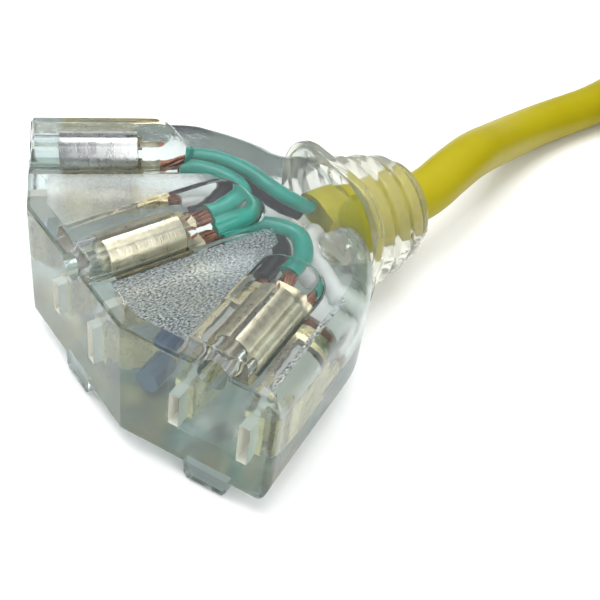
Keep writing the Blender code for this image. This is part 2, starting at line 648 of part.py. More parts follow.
def hank_straight():
    """Length of the hank's straight sides, which uses up the cord that the rest leaves over."""
    run = path_length(smooth_curve([Vector(p) for p in RUN_ROUTE]))
    tail = path_length(smooth_curve([Vector(p) for p in TAIL_ROUTE]))
    full_rows, last_row = divmod(HANK_TURNS, HANK_COLUMNS)
    radii = sum(turn_radius(column) for column in range(HANK_COLUMNS)) * full_rows
    radii += sum(turn_radius(column) for column in range(last_row))
    quarter = turn_radius(HANK_COLUMNS - 1) * math.pi / 2
    return (CORD_LENGTH - run - tail - quarter - 2 * math.pi * radii) / (2 * HANK_TURNS + 1)


def hank_sides():
    """Inner and outer end radius of the whole hank, and the height of its top."""
    inner = HANK_INNER - CORD_RADIUS
    outer = turn_radius(HANK_COLUMNS - 1) + CORD_RADIUS
    return inner, outer, HANK_FLOOR + 2 * CORD_RADIUS + (HANK_ROWS - 1) * HANK_PITCH


def track_stations(straight, arc_steps=20):
    """Clockwise round the hank: centre of each round end and the direction outwards."""
    stations = []
    for centre_y, start in ((HANK_NEAR_Y + straight, math.pi), (HANK_NEAR_Y, 0.0)):
        for step in range(arc_steps + 1):
            angle = start - math.pi * step / arc_steps
            stations.append((Vector((HANK_X, centre_y, 0)), Vector((math.cos(angle), math.sin(angle), 0))))
    return stations


def build_hank(straight):
    """Outer shape of the wound turns, with a shallow rebate under the tie."""
    inner, outer, top = hank_sides()
    cut, low = HANK_CHAMFER, HANK_FLOOR
    profile = [(outer - cut, low), (outer, low + cut), (outer, top - cut), (outer - cut, top),
               (inner + cut, top), (inner, top - cut), (inner, low + cut), (inner + cut, low)]
    bm = bmesh.new()
    rings = []
    for centre, out in track_stations(straight):
        rings.append([bm.verts.new(centre + reach * out + Vector((0, 0, z))) for reach, z in profile])
    for here, there in zip(rings, rings[1:] + rings[:1]):
        for i in range(len(profile)):
            j = (i + 1) % len(profile)
            bm.faces.new((here[i], here[j], there[j], there[i]))
    hank = mesh_object("cord_coil", bm, yellow_jacket("jacket_yellow_coil"))
    lift = box((-outer - 0.002, -inner + 0.002), (-TIE_WIDTH / 2 - 0.001, TIE_WIDTH / 2 + 0.001),
               (-0.004, TIE_THICKNESS + 2 * GAP + HANK_FLOOR))
    boolean(hank, mesh_object("tie_rebate", lift, matrix=tie_matrix(straight)))


def tie_matrix(straight):
    return Matrix.Translation((HANK_X, HANK_NEAR_Y + straight / 2, 0))


def rounded_loop(x_range, z_range, corner, y):
    (x0, x1), (z0, z1) = x_range, z_range
    points = []
    for cx, cz, start in ((x1 - corner, z0 + corner, -90), (x1 - corner, z1 - corner, 0),
                          (x0 + corner, z1 - corner, 90), (x0 + corner, z0 + corner, 180)):
        for step in range(5):
            angle = math.radians(start + 90 * step / 4)
            points.append(Vector((cx + corner * math.cos(angle), y, cz + corner * math.sin(angle))))
    return points


def build_tie(straight):
    """Strap around one side of the hank."""
    inner, outer, top = hank_sides()
    loops = []
    for grow, corner, y in ((TIE_THICKNESS, 0.0046, -TIE_WIDTH / 2), (TIE_THICKNESS, 0.0046, TIE_WIDTH / 2),
                            (0.0, 0.0030, TIE_WIDTH / 2), (0.0, 0.0030, -TIE_WIDTH / 2)):
        x_range = (-outer - GAP - grow, -inner + GAP + grow)
        z_range = (HANK_FLOOR + TIE_THICKNESS + GAP - grow, top + GAP + grow)
        loops.append(rounded_loop(x_range, z_range, corner, y))
    bm = bmesh.new()
    rings = [[bm.verts.new(p) for p in loop] for loop in loops]
    for here, there in zip(rings, rings[1:] + rings[:1]):
        for i in range(len(here)):
            j = (i + 1) % len(here)
            bm.faces.new((here[i], here[j], there[j], there[i]))
    mesh_object("coil_tie", bm, plastic("strap_black", (0.03, 0.03, 0.03), 0.8), tie_matrix(straight))


def superellipse(half_x, half_z, y, count=24, power=3.4):
    points = []
    for step in range(count):
        angle = 2 * math.pi * step / count
        c, s = math.cos(angle), math.sin(angle)
        x = math.copysign(abs(c) ** (2 / power), c) * half_x
        z = math.copysign(abs(s) ** (2 / power), s) * half_z
        points.append(Vector((x, y, z)))
    return points


def plug_matrix(straight):
    """The plug lies on top of the hank: origin at the rear end of its strain relief."""
    top = hank_sides()[2]
    return Matrix.Translation((HANK_X + PLUG_SIDE, HANK_NEAR_Y + straight - PLUG_SETBACK,
                               top + GAP + PLUG_HALF_HEIGHT))


def build_plug(place):
    """Grounded plug, its blades towards -Y."""
    bore = CORD_RADIUS + GAP
    back = -PLUG_RELIEF_LENGTH
    relief = [(0.0066, -0.0001), (0.0072, -0.0012)]
    for rib in range(5):
        y = -0.0030 - 0.0040 * rib
        grow = 0.0004 * rib
        relief += [(0.0068 + grow, y + 0.0006), (0.0080 + grow, y), (0.0080 + grow, y - 0.0018),
                   (0.0068 + grow, y - 0.0024)]
    relief += [(0.0092, back + 0.0006), (0.0092, back), (bore, back), (bore, -0.0001)]
    mesh_object("plug_strain_relief", turned(relief[::-1], 20), yellow_jacket("plug_yellow_relief"), place)
    front = back - GAP - PLUG_BODY_LENGTH
    shape = [(0.0098, 0.0098, back - GAP), (0.0136, 0.0132, back - 0.0070), (0.0160, 0.0148, back - 0.0140),
             (0.0168, PLUG_HALF_HEIGHT, back - 0.0260), (0.0165, 0.0151, front + 0.0012), (0.0155, 0.0142, front)]
    body = mesh_object("plug_body", lofted([superellipse(*s) for s in shape]), yellow_jacket("plug_yellow"), place)
    seat = lofted([superellipse(0.0132, 0.0122, y) for y in (front - 0.002, front + 0.0020)])
    boolean(body, mesh_object("bridge_seat", seat, matrix=place))
    plate = lofted([superellipse(0.0132 - GAP, 0.0122 - GAP, y) for y in (front - 0.0004, front + 0.0020 - GAP)])
    bridge = mesh_object("plug_bridge", plate, plastic("bridge_grey", (0.20, 0.20, 0.19)), place)
    blade_z, pin_z = PLUG_BLADE_Z, PLUG_BLADE_Z + GROUND_RISE
    root = front + 0.0090
    for name, across in (("plug_neutral_blade", -BLADE_PITCH / 2), ("plug_line_blade", BLADE_PITCH / 2)):
        half = 0.0039 if "neutral" in name else 0.0032
        tip = front - PLUG_BLADE_LENGTH
        outline = [(across - 0.00075, root), (across - 0.00075, tip + 0.0016), (across - 0.0003, tip),
                   (across + 0.0003, tip), (across + 0.00075, tip + 0.0016), (across + 0.00075, root)]
        mesh_object(name, prism(outline, blade_z - half, blade_z + half), brass(f"{name}_brass"), place)
        grown = box((across - 0.00075 - GAP, across + 0.00075 + GAP), (front - 0.003, root + GAP),
                    (blade_z - half - GAP, blade_z + half + GAP))
        cutter = mesh_object(f"{name}_hole", grown, matrix=place)
        boolean(body, cutter)
        boolean(bridge, cutter)
    tip = front - PLUG_PIN_LENGTH
    pin = [(0.0024, Vector((0, root, pin_z))), (0.0024, Vector((0, tip + 0.0022, pin_z))),
           (0.0019, Vector((0, tip + 0.0007, pin_z))), (0.0009, Vector((0, tip, pin_z)))]
    rings = []
    for radius, middle in pin:
        rings.append([middle + Vector((radius * math.cos(a), 0, radius * math.sin(a)))
                      for a in (2 * math.pi * i / 16 for i in range(16))])
    mesh_object("plug_ground_pin", lofted(rings), brass("pin_brass"), place)
    hole = cylinder((0, front - 0.003, pin_z), (0, root + GAP, pin_z), 0.0024 + GAP, 16)
    hole_object = mesh_object("plug_pin_hole", hole, matrix=place)
    boolean(body, hole_object)
    boolean(bridge, hole_object)


def outside_hank(path, straight):
    """The points of a path that stay clear of the hank's outer shape."""
    _, outer, top = hank_sides()
    clear = []
    for point in path:
        nearest_y = min(max(point.y, HANK_NEAR_Y), HANK_NEAR_Y + straight)
        reach = (Vector((point.x, point.y, 0)) - Vector((HANK_X, nearest_y, 0))).length
        if reach > outer + CORD_RADIUS + GAP or point.z > top + CORD_RADIUS + GAP / 2:
            clear.append(point)
    return clear


def build_cord(straight):
    run = smooth_curve([Vector(p) for p in RUN_ROUTE])
    run[0] = run[0] + Vector((0, GAP, 0))
    points = spaced(outside_hank(run, straight), 0.0110)
    points.insert(1, points[0] + Vector((0, 0.0030, 0)))
    tube("cord_run", points, CORD_RADIUS, yellow_jacket("jacket_yellow_run"), resolution=3)
    far_end = Vector((HANK_X, HANK_NEAR_Y + straight, 0))
    tail = smooth_curve([far_end + Vector(p) for p in TAIL_ROUTE])
    tail[-1] = tail[-1] + Vector((0, GAP, 0))
    tube("cord_tail", spaced(outside_hank(tail, straight), 0.0110), CORD_RADIUS,
         yellow_jacket("jacket_yellow_tail"), resolution=3)


def clear_scene():
    for obj in list(bpy.data.objects):
        bpy.data.objects.remove(obj, do_unlink=True)


def main():
    clear_scene()
    build_housing()
    for side_name in OUTLETS:
        build_carrier(side_name)
        build_ground_contact(side_name)
        build_blade_contact("line", side_name)
        build_blade_contact("neutral", side_name)
    build_wires()
    build_strands("ground", 0.0, GROUND_CRIMP_Z, ("right", "a"))
    build_strands("line", -CRIMP_OFFSET, LINE_CRIMP_Z, ("right", "a"))
    build_strands("neutral", CRIMP_OFFSET, NEUTRAL_CRIMP_Z, ("left", "b"))
    build_indicator()
    build_strain_relief()
    build_jacket_end()
    straight = hank_straight()
    build_cord(straight)
    build_hank(straight)
    build_tie(straight)
    build_plug(plug_matrix(straight))


main()
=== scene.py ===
import math
import random

import bmesh
import bpy
from mathutils import Matrix, Vector


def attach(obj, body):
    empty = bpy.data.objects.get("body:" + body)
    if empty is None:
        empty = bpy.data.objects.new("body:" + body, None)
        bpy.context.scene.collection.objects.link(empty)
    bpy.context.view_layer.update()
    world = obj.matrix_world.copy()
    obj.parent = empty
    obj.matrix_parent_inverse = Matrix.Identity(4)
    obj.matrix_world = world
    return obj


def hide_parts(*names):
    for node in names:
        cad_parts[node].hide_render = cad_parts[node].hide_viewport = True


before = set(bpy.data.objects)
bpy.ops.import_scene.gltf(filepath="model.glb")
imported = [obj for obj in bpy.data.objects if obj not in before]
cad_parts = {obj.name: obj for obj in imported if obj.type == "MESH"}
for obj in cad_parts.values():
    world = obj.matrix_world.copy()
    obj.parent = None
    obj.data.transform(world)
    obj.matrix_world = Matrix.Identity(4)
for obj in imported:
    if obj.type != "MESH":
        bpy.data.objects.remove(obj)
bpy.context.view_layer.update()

# ---- dimensions shared with the frame, in metres ----
FAN_ANGLE = math.radians(26.0)
FACE_HALF = 0.0166
SIDE_HALF = 0.0116
BASE_Z = 0.0045
SHOULDER_Z = 0.0285
RIDGE_Z = 0.0325
RIDGE_FOOT_HALF = 0.00615
SIDE_ROUND = 0.0042
NECK_ROUND = 0.0085
EDGE_ROUND = 0.0006
CORNER_ROUND = 0.0018
BLADE_PITCH = 0.0127
GROUND_RISE = 0.0119
BLADE_Z = 0.0158
GROUND_Z = BLADE_Z + GROUND_RISE
SLOT_WIDTH = 0.0019
SLOT_DEPTH = 0.0175
LINE_SLOT_HEIGHT = 0.0069
NEUTRAL_SLOT_HEIGHT = 0.0083
GROUND_HOLE_RADIUS = 0.0026
BARREL_RADIUS = 0.0031
BARREL_BORE = 0.0025
CONTACT_FRONT = 0.0054
CONTACT_BACK = 0.0195
CRIMP_OFFSET = 0.0050
LINE_CRIMP_Z = BLADE_Z + 0.0021
NEUTRAL_CRIMP_Z = BLADE_Z - 0.0021
GROUND_CRIMP_Z = 0.0244
WIRE_RADIUS = 0.0018
WIRE_SIDE = 0.00195
WIRE_START = 0.0272
STRAND_SIDE = 0.0013
GROUND_WIRE_Z = 0.0242

CORD_RADIUS = 0.0052
CORD_LENGTH = 7.62
AXIS_Z = 0.0150
RELIEF_BACK = 0.0020
NECK_BACK = -0.0188
NECK_HALF = 0.0130
JACKET_FRONT = -0.0215
HANK_COLUMNS = 4
HANK_ROWS = 4
HANK_PITCH = 0.0105
HANK_INNER = 0.0315
HANK_X = 0.0262
HANK_NEAR_Y = 0.1850
HANK_FLOOR = 0.0003
HANK_TURNS = 15
TIE_WIDTH = 0.0200
TIE_THICKNESS = 0.0016
PLUG_SIDE = 0.0470
PLUG_SETBACK = 0.0360
PLUG_HALF_HEIGHT = 0.0153
PLUG_RELIEF_LENGTH = 0.0240
PLUG_BODY_LENGTH = 0.0340
PLUG_BLADE_LENGTH = 0.0178
PLUG_PIN_LENGTH = 0.0205
PLUG_BLADE_Z = -0.0046
GAP = 0.0003

APOTHEM = FACE_HALF / math.tan(FAN_ANGLE / 2)
PIVOT_Y = APOTHEM - (APOTHEM + RELIEF_BACK) / 2
OUTLETS = {"left": -1, "centre": 0, "right": 1}
RIDGE_LENGTH = {"left": 0.0300, "centre": 0.0370, "right": 0.0300}

# ---- choices of this script, in metres unless they have no unit ----
PANEL_Z = SHOULDER_Z - 0.00025
NECK_INTO_FLANGE = 0.0012
COLLAR_START_Y = -0.0192
FLANGE_FLOOR_Z = 0.0004
FLANGE_CORNER = NECK_ROUND + 0.0006
STRAIGHT_STEPS = 14
ARC_STEPS = 26
STRAND_COUNT = 11
STRAND_RADIUS = 0.0003
STRAP_LIFT = 0.0021
STRAP_CORNER = 0.0034
STRAP_EDGE_ROUND = 0.0004
PVC_IOR = 1.32
MOULDING_FINISHES = ["clear", "stipple", "frost", "top", "haze", "face", "edge", "slot", "collar"]

# Route of the cord from the strain relief to the outermost turn of the hank, as in the frame.
RUN_ROUTE = [(0.0, 0.03695, 0.0150), (0.0, 0.0410, 0.0150), (-0.0006, 0.0452, 0.0154),
             (-0.0018, 0.0495, 0.0159), (-0.0035, 0.0550, 0.0160), (-0.0054, 0.0605, 0.0155),
             (-0.0076, 0.0665, 0.0141), (-0.0099, 0.0730, 0.0122), (-0.0123, 0.0800, 0.0102),
             (-0.0144, 0.0870, 0.0085), (-0.0163, 0.0950, 0.0070), (-0.0175, 0.1030, 0.00605),
             (-0.0180, 0.1110, 0.0056), (-0.0183, 0.1190, 0.0055), (-0.0196, 0.1290, 0.0055),
             (-0.0226, 0.1400, 0.0055), (-0.0270, 0.1510, 0.0055), (-0.0314, 0.1620, 0.0055),
             (-0.0349, 0.1730, 0.0055), (-0.0365, 0.1800, 0.0055), (-0.0368, 0.1850, 0.0055)]

# Route from the top of the hank's far end to the plug, from the centre of that end.
TAIL_ROUTE = [(0.0, 0.0630, 0.0370), (0.0165, 0.0612, 0.0378), (0.0315, 0.0556, 0.0402),
              (0.0440, 0.0455, 0.0445), (0.0520, 0.0330, 0.0492), (0.0545, 0.0185, 0.0536),
              (0.0525, 0.0035, 0.0566), (0.0492, -0.0120, 0.0578), (0.0472, -0.0250, 0.0578),
              (PLUG_SIDE, -PLUG_SETBACK, 0.0578)]


# ---- frames and curves ----
def outlet_matrix(side):
    """Outlet frame: X across the face, Y into the block, Z up, origin on the face at the floor."""
    turn = Matrix.Rotation(side * FAN_ANGLE, 4, "Z")
    return Matrix.Translation((0, PIVOT_Y, 0)) @ turn @ Matrix.Translation((0, -APOTHEM, 0))


def outlet_point(side, across, depth, height):
    return outlet_matrix(side) @ Vector((across, depth, height))


def hub_point(x, y, height):
    """A point given from the fan's pivot."""
    return Vector((x, PIVOT_Y + y, height))


def smooth_curve(points, per_span=8):
    """Catmull-Rom curve through given points."""
    ends = [2 * points[0] - points[1]] + list(points) + [2 * points[-1] - points[-2]]
    path = []
    for a, b, c, d in zip(ends, ends[1:], ends[2:], ends[3:]):
        for step in range(per_span):
            t = step / per_span
            path.append(0.5 * (2 * b + (c - a) * t + (2 * a - 5 * b + 4 * c - d) * t * t
                               + (3 * b - a - 3 * c + d) * t ** 3))
    return path + [points[-1]]


def path_length(path):
    return sum((b - a).length for a, b in zip(path, path[1:]))


def ease(t):
    t = min(1.0, max(0.0, t))
    return t * t * (3 - 2 * t)


# ---- materials ----
def new_material(name):
    """A material with nodes; returns it, its tree and its shader."""
    mat = bpy.data.materials.new(name)
    mat.use_nodes = True
    return mat, mat.node_tree, mat.node_tree.nodes["Principled BSDF"]


def node(tree, kind, **values):
    made = tree.nodes.new(kind)
    for key, value in values.items():
        made.inputs[key.replace("_", " ")].default_value = value
    return made


def object_coordinates(tree, stretch=(1, 1, 1)):
    coordinates = tree.nodes.new("ShaderNodeTexCoord")
    mapping = tree.nodes.new("ShaderNodeMapping")
    mapping.inputs["Scale"].default_value = stretch
    tree.links.new(coordinates.outputs["Object"], mapping.inputs["Vector"])
    return mapping.outputs["Vector"]


def noise(tree, vector, scale, detail=3.0, roughness=0.55):
    made = node(tree, "ShaderNodeTexNoise", Scale=scale, Detail=detail, Roughness=roughness)
    tree.links.new(vector, made.inputs["Vector"])
    return made.outputs["Fac"]


def ramp(tree, factor, stops):
    """Colour ramp through (position, colour) stops."""
    made = tree.nodes.new("ShaderNodeValToRGB")
    elements = made.color_ramp.elements
    while len(elements) < len(stops):
        elements.new(0.5)
    for element, (position, colour) in zip(elements, stops):
        element.position = position
        element.color = (*colour, 1.0)
    tree.links.new(factor, made.inputs["Fac"])
    return made.outputs["Color"]


def scaled(tree, factor, low, high):
    made = node(tree, "ShaderNodeMapRange", To_Min=low, To_Max=high)
    tree.links.new(factor, made.inputs["Value"])
    return made.outputs["Result"]


def bump(tree, shader, height, distance):
    """Relief of the given depth, on top of any that the shader already has."""
    made = node(tree, "ShaderNodeBump", Strength=1.0, Distance=distance)
    tree.links.new(height, made.inputs["Height"])
    previous = shader.inputs["Normal"]
    if previous.is_linked:
        tree.links.new(previous.links[0].from_socket, made.inputs["Normal"])
    tree.links.new(made.outputs["Normal"], previous)


def varied(name, colours, scale, roughness, metallic=0.0, grain=0.0, stretch=(1, 1, 1)):
    """Mottled colour and roughness from noise, with an optional fine bump."""
    mat, tree, shader = new_material(name)
    vector = object_coordinates(tree, stretch)
    mottling = noise(tree, vector, scale)
    tree.links.new(ramp(tree, mottling, [(0.3, colours[0]), (0.7, colours[1])]), shader.inputs["Base Color"])
    tree.links.new(scaled(tree, mottling, *roughness), shader.inputs["Roughness"])
    shader.inputs["Metallic"].default_value = metallic
    if grain:
        bump(tree, shader, noise(tree, vector, scale * 6, 2.0), grain)
    return mat


def clear_pvc(name, tint, transmission, roughness, grains):
    """Soft clear moulding: part glass, part milk, with (noise scale, depth) grains in its skin."""
    mat, tree, shader = new_material(name)
    vector = object_coordinates(tree)
    cloud = noise(tree, vector, 140.0)
    darker = tuple(0.93 * value for value in tint)
    tree.links.new(ramp(tree, cloud, [(0.3, darker), (0.7, tint)]), shader.inputs["Base Color"])
    shader.inputs["Transmission Weight"].default_value = transmission
    shader.inputs["IOR"].default_value = PVC_IOR
    shader.inputs["Specular IOR Level"].default_value = 0.4
    tree.links.new(scaled(tree, cloud, *roughness), shader.inputs["Roughness"])
    for scale, depth in grains:
        bump(tree, shader, noise(tree, vector, scale, 2.0), depth)
    return mat


def stippled_pvc(name, dark, middle, transmission, depth):
    """Spark-eroded skin: dense sharp grain in its bump; its colour runs from painted dark shade to painted
    white glints.
    """
    mat, tree, shader = new_material(name)
    vector = object_coordinates(tree, (1.5, 0.8, 1.0))
    grain = noise(tree, vector, 2300.0, 2.0, 0.6)
    # dark and white stops are painted shade and glints of the rough skin, not pigment
    colour = ramp(tree, grain, [(0.34, dark), (0.50, middle), (0.66, (0.98, 1.0, 1.0))])
    tree.links.new(colour, shader.inputs["Base Color"])
    shader.inputs["Transmission Weight"].default_value = transmission
    shader.inputs["IOR"].default_value = PVC_IOR
    tree.links.new(scaled(tree, grain, 0.10, 0.25), shader.inputs["Roughness"])
    bump(tree, shader, noise(tree, vector, 260.0, 2.0), 0.0002)
    bump(tree, shader, grain, depth)
    return mat


def thin_clear(name, colour, alpha, scale, roughness, grain=0.0):
    """Insert or lamp glass seen through the moulding, thinned by its alpha."""
    mat, tree, shader = new_material(name)
    vector = object_coordinates(tree)
    shader.inputs["Base Color"].default_value = (*colour, 1.0)
    shader.inputs["Alpha"].default_value = alpha
    tree.links.new(scaled(tree, noise(tree, vector, scale), *roughness), shader.inputs["Roughness"])
    if grain:
        bump(tree, shader, noise(tree, vector, 500.0, 2.0), grain)
    return mat


def jacket_material(name, darker, lighter):
    """Yellow extruded jacket: broad mottling, faint fine bumps and a satin skin."""
    mat, tree, shader = new_material(name)
    vector = object_coordinates(tree)
    broad = noise(tree, vector, 45.0)
    colour = ramp(tree, broad, [(0.30, darker), (0.70, lighter)])
    tree.links.new(colour, shader.inputs["Base Color"])
    tree.links.new(scaled(tree, broad, 0.32, 0.46), shader.inputs["Roughness"])
    shader.inputs["Specular IOR Level"].default_value = 0.09
    bump(tree, shader, noise(tree, vector, 900.0, 2.0), 0.00003)
    bump(tree, shader, noise(tree, vector, 120.0, 2.0), 0.0001)
    return mat


def strap_material():
    """Woven hook-and-loop strap."""
    mat, tree, shader = new_material("woven_strap")
    vector = object_coordinates(tree)
    fuzz = noise(tree, vector, 1500.0, 4.0)
    tree.links.new(ramp(tree, fuzz, [(0.3, (0.012, 0.012, 0.013)), (0.7, (0.05, 0.05, 0.052))]),
                   shader.inputs["Base Color"])
    shader.inputs["Roughness"].default_value = 0.9
    shader.inputs["Sheen Weight"].default_value = 0.35
    weave = node(tree, "ShaderNodeTexVoronoi", Scale=1100.0)
    tree.links.new(vector, weave.inputs["Vector"])
    bump(tree, shader, weave.outputs["Distance"], 0.0004)
    return mat


MATERIALS = {
    "clear": clear_pvc("clear_ridge", (0.88, 0.91, 0.93), 0.96, (0.03, 0.08), [(210.0, 0.00015)]),
    # stippled panel: its near-black dark stop is painted shade; both panels get painted white glints
    "stipple": stippled_pvc("stippled_panel", (0.05, 0.075, 0.10), (0.46, 0.53, 0.55), 0.66, 0.0008),
    "frost": stippled_pvc("frosted_panel", (0.62, 0.65, 0.66), (0.78, 0.81, 0.82), 0.84, 0.0002),
    # top: lighter copy of the hazy body for the faces that look up, painted light
    "top": clear_pvc("clear_top_painted_light", (0.86, 0.91, 0.94), 0.955, (0.05, 0.12), [(180.0, 0.00016)]),
    "haze": clear_pvc("hazy_body", (0.54, 0.64, 0.60), 0.955, (0.08, 0.18),
                      [(180.0, 0.00016), (1400.0, 0.00004)]),
    "face": clear_pvc("outlet_face", (0.55, 0.69, 0.65), 0.90, (0.08, 0.18),
                      [(150.0, 0.0001), (1500.0, 0.00003)]),
    # edge: darker copy of the clear PVC along the outlet faces' edges and the ridge feet, painted shade lines
    "edge": clear_pvc("moulding_edge_painted_shade", (0.36, 0.44, 0.43), 0.92, (0.05, 0.12), [(200.0, 0.0001)]),
    # slot: bright cream, barely clear copy of the PVC on the slot walls, painted light shining through the
    # slots
    "slot": clear_pvc("slot_wall_painted_light", (0.96, 0.95, 0.86), 0.35, (0.30, 0.45), [(300.0, 0.0001)]),
    "collar": clear_pvc("clear_collar", (0.74, 0.75, 0.67), 0.86, (0.06, 0.14), [(240.0, 0.0001)]),
    "insert": thin_clear("clear_insert", (0.93, 0.97, 0.95), 0.07, 300.0, (0.08, 0.22), 0.0001),
    "barrel": varied("plated_barrel", ((0.50, 0.50, 0.48), (0.72, 0.72, 0.69)), 500.0,
                     (0.20, 0.36), 1.0, 0.00005),
    "gilt": varied("yellow_barrel", ((0.54, 0.49, 0.33), (0.78, 0.73, 0.54)), 260.0,
                   (0.22, 0.38), 0.95, 0.00006, (3, 3, 1)),
    "strip": varied("brass_strip", ((0.10, 0.075, 0.02), (0.24, 0.19, 0.06)), 400.0,
                    (0.25, 0.42), 0.8, 0.00004),
    "ferrule": varied("dull_ferrule", ((0.30, 0.27, 0.17), (0.50, 0.46, 0.32)), 500.0,
                      (0.28, 0.45), 0.9, 0.00005),
    "brass": varied("spring_brass", ((0.62, 0.50, 0.24), (0.82, 0.72, 0.45)), 350.0,
                    (0.20, 0.36), 1.0, 0.00005),
    "copper": varied("bare_copper", ((0.10, 0.035, 0.016), (0.42, 0.17, 0.08)), 700.0,
                     (0.35, 0.6), 0.7, 0.00008),
    "green": varied("green_insulation", ((0.0, 0.25, 0.18), (0.0, 0.36, 0.27)), 180.0,
                    (0.25, 0.38), 0.0, 0.00003),
    "black": varied("black_insulation", ((0.008, 0.008, 0.009), (0.02, 0.02, 0.02)), 180.0,
                    (0.3, 0.45), 0.0, 0.00003),
    "white": varied("white_insulation", ((0.68, 0.68, 0.65), (0.80, 0.80, 0.77)), 180.0,
                    (0.3, 0.42), 0.0, 0.00003),
    "lamp": thin_clear("lamp_glass_fine", (0.06, 0.12, 0.22), 0.85, 400.0, (0.05, 0.2)),
    "resistor": varied("resistor_coating", ((0.50, 0.38, 0.22), (0.62, 0.50, 0.33)), 700.0, (0.4, 0.6)),
    "lead": varied("tinned_wire", ((0.55, 0.55, 0.56), (0.75, 0.75, 0.74)), 900.0, (0.25, 0.4), 1.0),
    "jacket": jacket_material("yellow_jacket", (0.30, 0.255, 0.006), (0.355, 0.305, 0.010)),
    # stub: brighter copy of the jacket for the stub inside the collar, painted light against the collar's
    # shade
    "stub": jacket_material("jacket_in_collar_brightened", (0.48, 0.41, 0.010), (0.56, 0.48, 0.014)),
    "strap": strap_material(),
    "bridge": varied("plug_insert", ((0.025, 0.025, 0.025), (0.05, 0.05, 0.048)), 400.0,
                     (0.4, 0.55), 0.0, 0.00003),
    "prong": varied("prong_brass", ((0.70, 0.56, 0.28), (0.83, 0.71, 0.42)), 300.0,
                    (0.18, 0.32), 1.0, 0.00003),
}


# ---- mesh helpers ----
def ring_vertices(bm, sections):
    return [[bm.verts.new(point) for point in section] for section in sections]


def bridge(bm, here, there, closed=True):
    """Faces between two rings of equal point count, which may be open."""
    for i in range(len(here) if closed else len(here) - 1):
        j = (i + 1) % len(here)
        bm.faces.new((here[i], here[j], there[j], there[i]))


def lofted(sections):
    """Solid through rings of equal point count, capped at both ends."""
    bm = bmesh.new()
    rings = ring_vertices(bm, sections)
    for here, there in zip(rings, rings[1:]):
        bridge(bm, here, there)
    bm.faces.new(rings[0])
    bm.faces.new(rings[-1])
    return bm


def looped(sections):
    """Solid through rings of equal point count, the last joined to the first."""
    bm = bmesh.new()
    rings = ring_vertices(bm, sections)
    for here, there in zip(rings, rings[1:] + rings[:1]):
        bridge(bm, here, there)
    return bm


def shape(name, bm, matrix=None):
    """A bare object from a bmesh, with its faces pointing out."""
    bmesh.ops.recalc_face_normals(bm, faces=bm.faces)
    mesh = bpy.data.meshes.new(name)
    bm.to_mesh(mesh)
    bm.free()
    obj = bpy.data.objects.new(name, mesh)
    bpy.context.scene.collection.objects.link(obj)
    if matrix is not None:
        mesh.transform(matrix)
    return obj


def finish_piece(obj, materials, nodes=(), sharp=35.0):
    """Materials, smooth shading, body and the CAD nodes the piece stands for."""
    if not obj.data.materials:
        for key in materials:
            obj.data.materials.append(MATERIALS[key])
    if obj.type == "MESH":
        obj.data.shade_smooth()
        obj.data.set_sharp_from_angle(angle=math.radians(sharp))
    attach(obj, "root")
    if nodes:
        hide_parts(*nodes)
    return obj


def cut(target, cutter, operation="DIFFERENCE"):
    """Apply a Boolean and remove the cutter."""
    modifier = target.modifiers.new("cut", "BOOLEAN")
    modifier.operation = operation
    modifier.solver = "EXACT"
    modifier.object = cutter
    graph = bpy.context.evaluated_depsgraph_get()
    mesh = bpy.data.meshes.new_from_object(target.evaluated_get(graph))
    target.modifiers.remove(modifier)
    target.data = mesh
    bpy.data.objects.remove(cutter, do_unlink=True)


def curve_object(name, paths, radius, resolution):
    """Round curve through one or more lists of points."""
    curve = bpy.data.curves.new(name, "CURVE")
    curve.dimensions = "3D"
    curve.bevel_depth = radius
    curve.bevel_resolution = resolution
    curve.use_fill_caps = True
    for path in paths:
        spline = curve.splines.new("POLY")
        spline.points.add(len(path) - 1)
        for point, place in zip(spline.points, path):
            point.co = (*place, 1.0)
        spline.use_smooth = True
    obj = bpy.data.objects.new(name, curve)
    bpy.context.scene.collection.objects.link(obj)
    return obj


# ---- camera, light and floor ----
def build_camera():
    """Looks down on the right outlet from its front right, rolled a little."""
    target = Vector((0.01513, -0.00032, 0.0165))
    azimuth = math.radians(48.43)
    elevation = math.radians(42.37)
    roll = math.radians(8.92)
    distance = 0.17879
    back = Vector((math.sin(azimuth) * math.cos(elevation), -math.cos(azimuth) * math.cos(elevation),
                   math.sin(elevation)))
    data = bpy.data.cameras.new("camera")
    data.lens = 60.10
    data.sensor_width = 36.0
    data.clip_start = 0.01
    data.clip_end = 20.0
    camera = bpy.data.objects.new("camera", data)
    turn = (-back).to_track_quat("-Z", "Y").to_matrix().to_4x4() @ Matrix.Rotation(roll, 4, "Z")
    camera.matrix_world = Matrix.Translation(target + distance * back) @ turn
    bpy.context.scene.collection.objects.link(camera)
    bpy.context.scene.camera = camera


def area_light(name, place, target, size, power):
    data = bpy.data.lights.new(name, "AREA")
    data.shape = "RECTANGLE"
    data.size, data.size_y = size
    data.energy = power
    obj = bpy.data.objects.new(name, data)
    obj.location = place
    obj.rotation_mode = "QUATERNION"
    obj.rotation_quaternion = (Vector(target) - Vector(place)).to_track_quat("-Z", "Y")
    bpy.context.scene.collection.objects.link(obj)


def build_world():
    """White dome that darkens towards the horizon."""
    world = bpy.data.worlds.new("studio")
    bpy.context.scene.world = world
    world.use_nodes = True
    tree = world.node_tree
    coordinates = tree.nodes.new("ShaderNodeTexCoord")
    split = tree.nodes.new("ShaderNodeSeparateXYZ")
    tree.links.new(coordinates.outputs["Generated"], split.inputs["Vector"])
    colour = ramp(tree, split.outputs["Z"], [(0.0, (0.07, 0.075, 0.08)), (0.35, (0.25, 0.26, 0.27)),
                                             (0.66, (0.50, 0.51, 0.53)), (0.86, (1.0, 1.0, 1.0))])
    background = tree.nodes["Background"]
    tree.links.new(colour, background.inputs["Color"])
    background.inputs["Strength"].default_value = 1.15


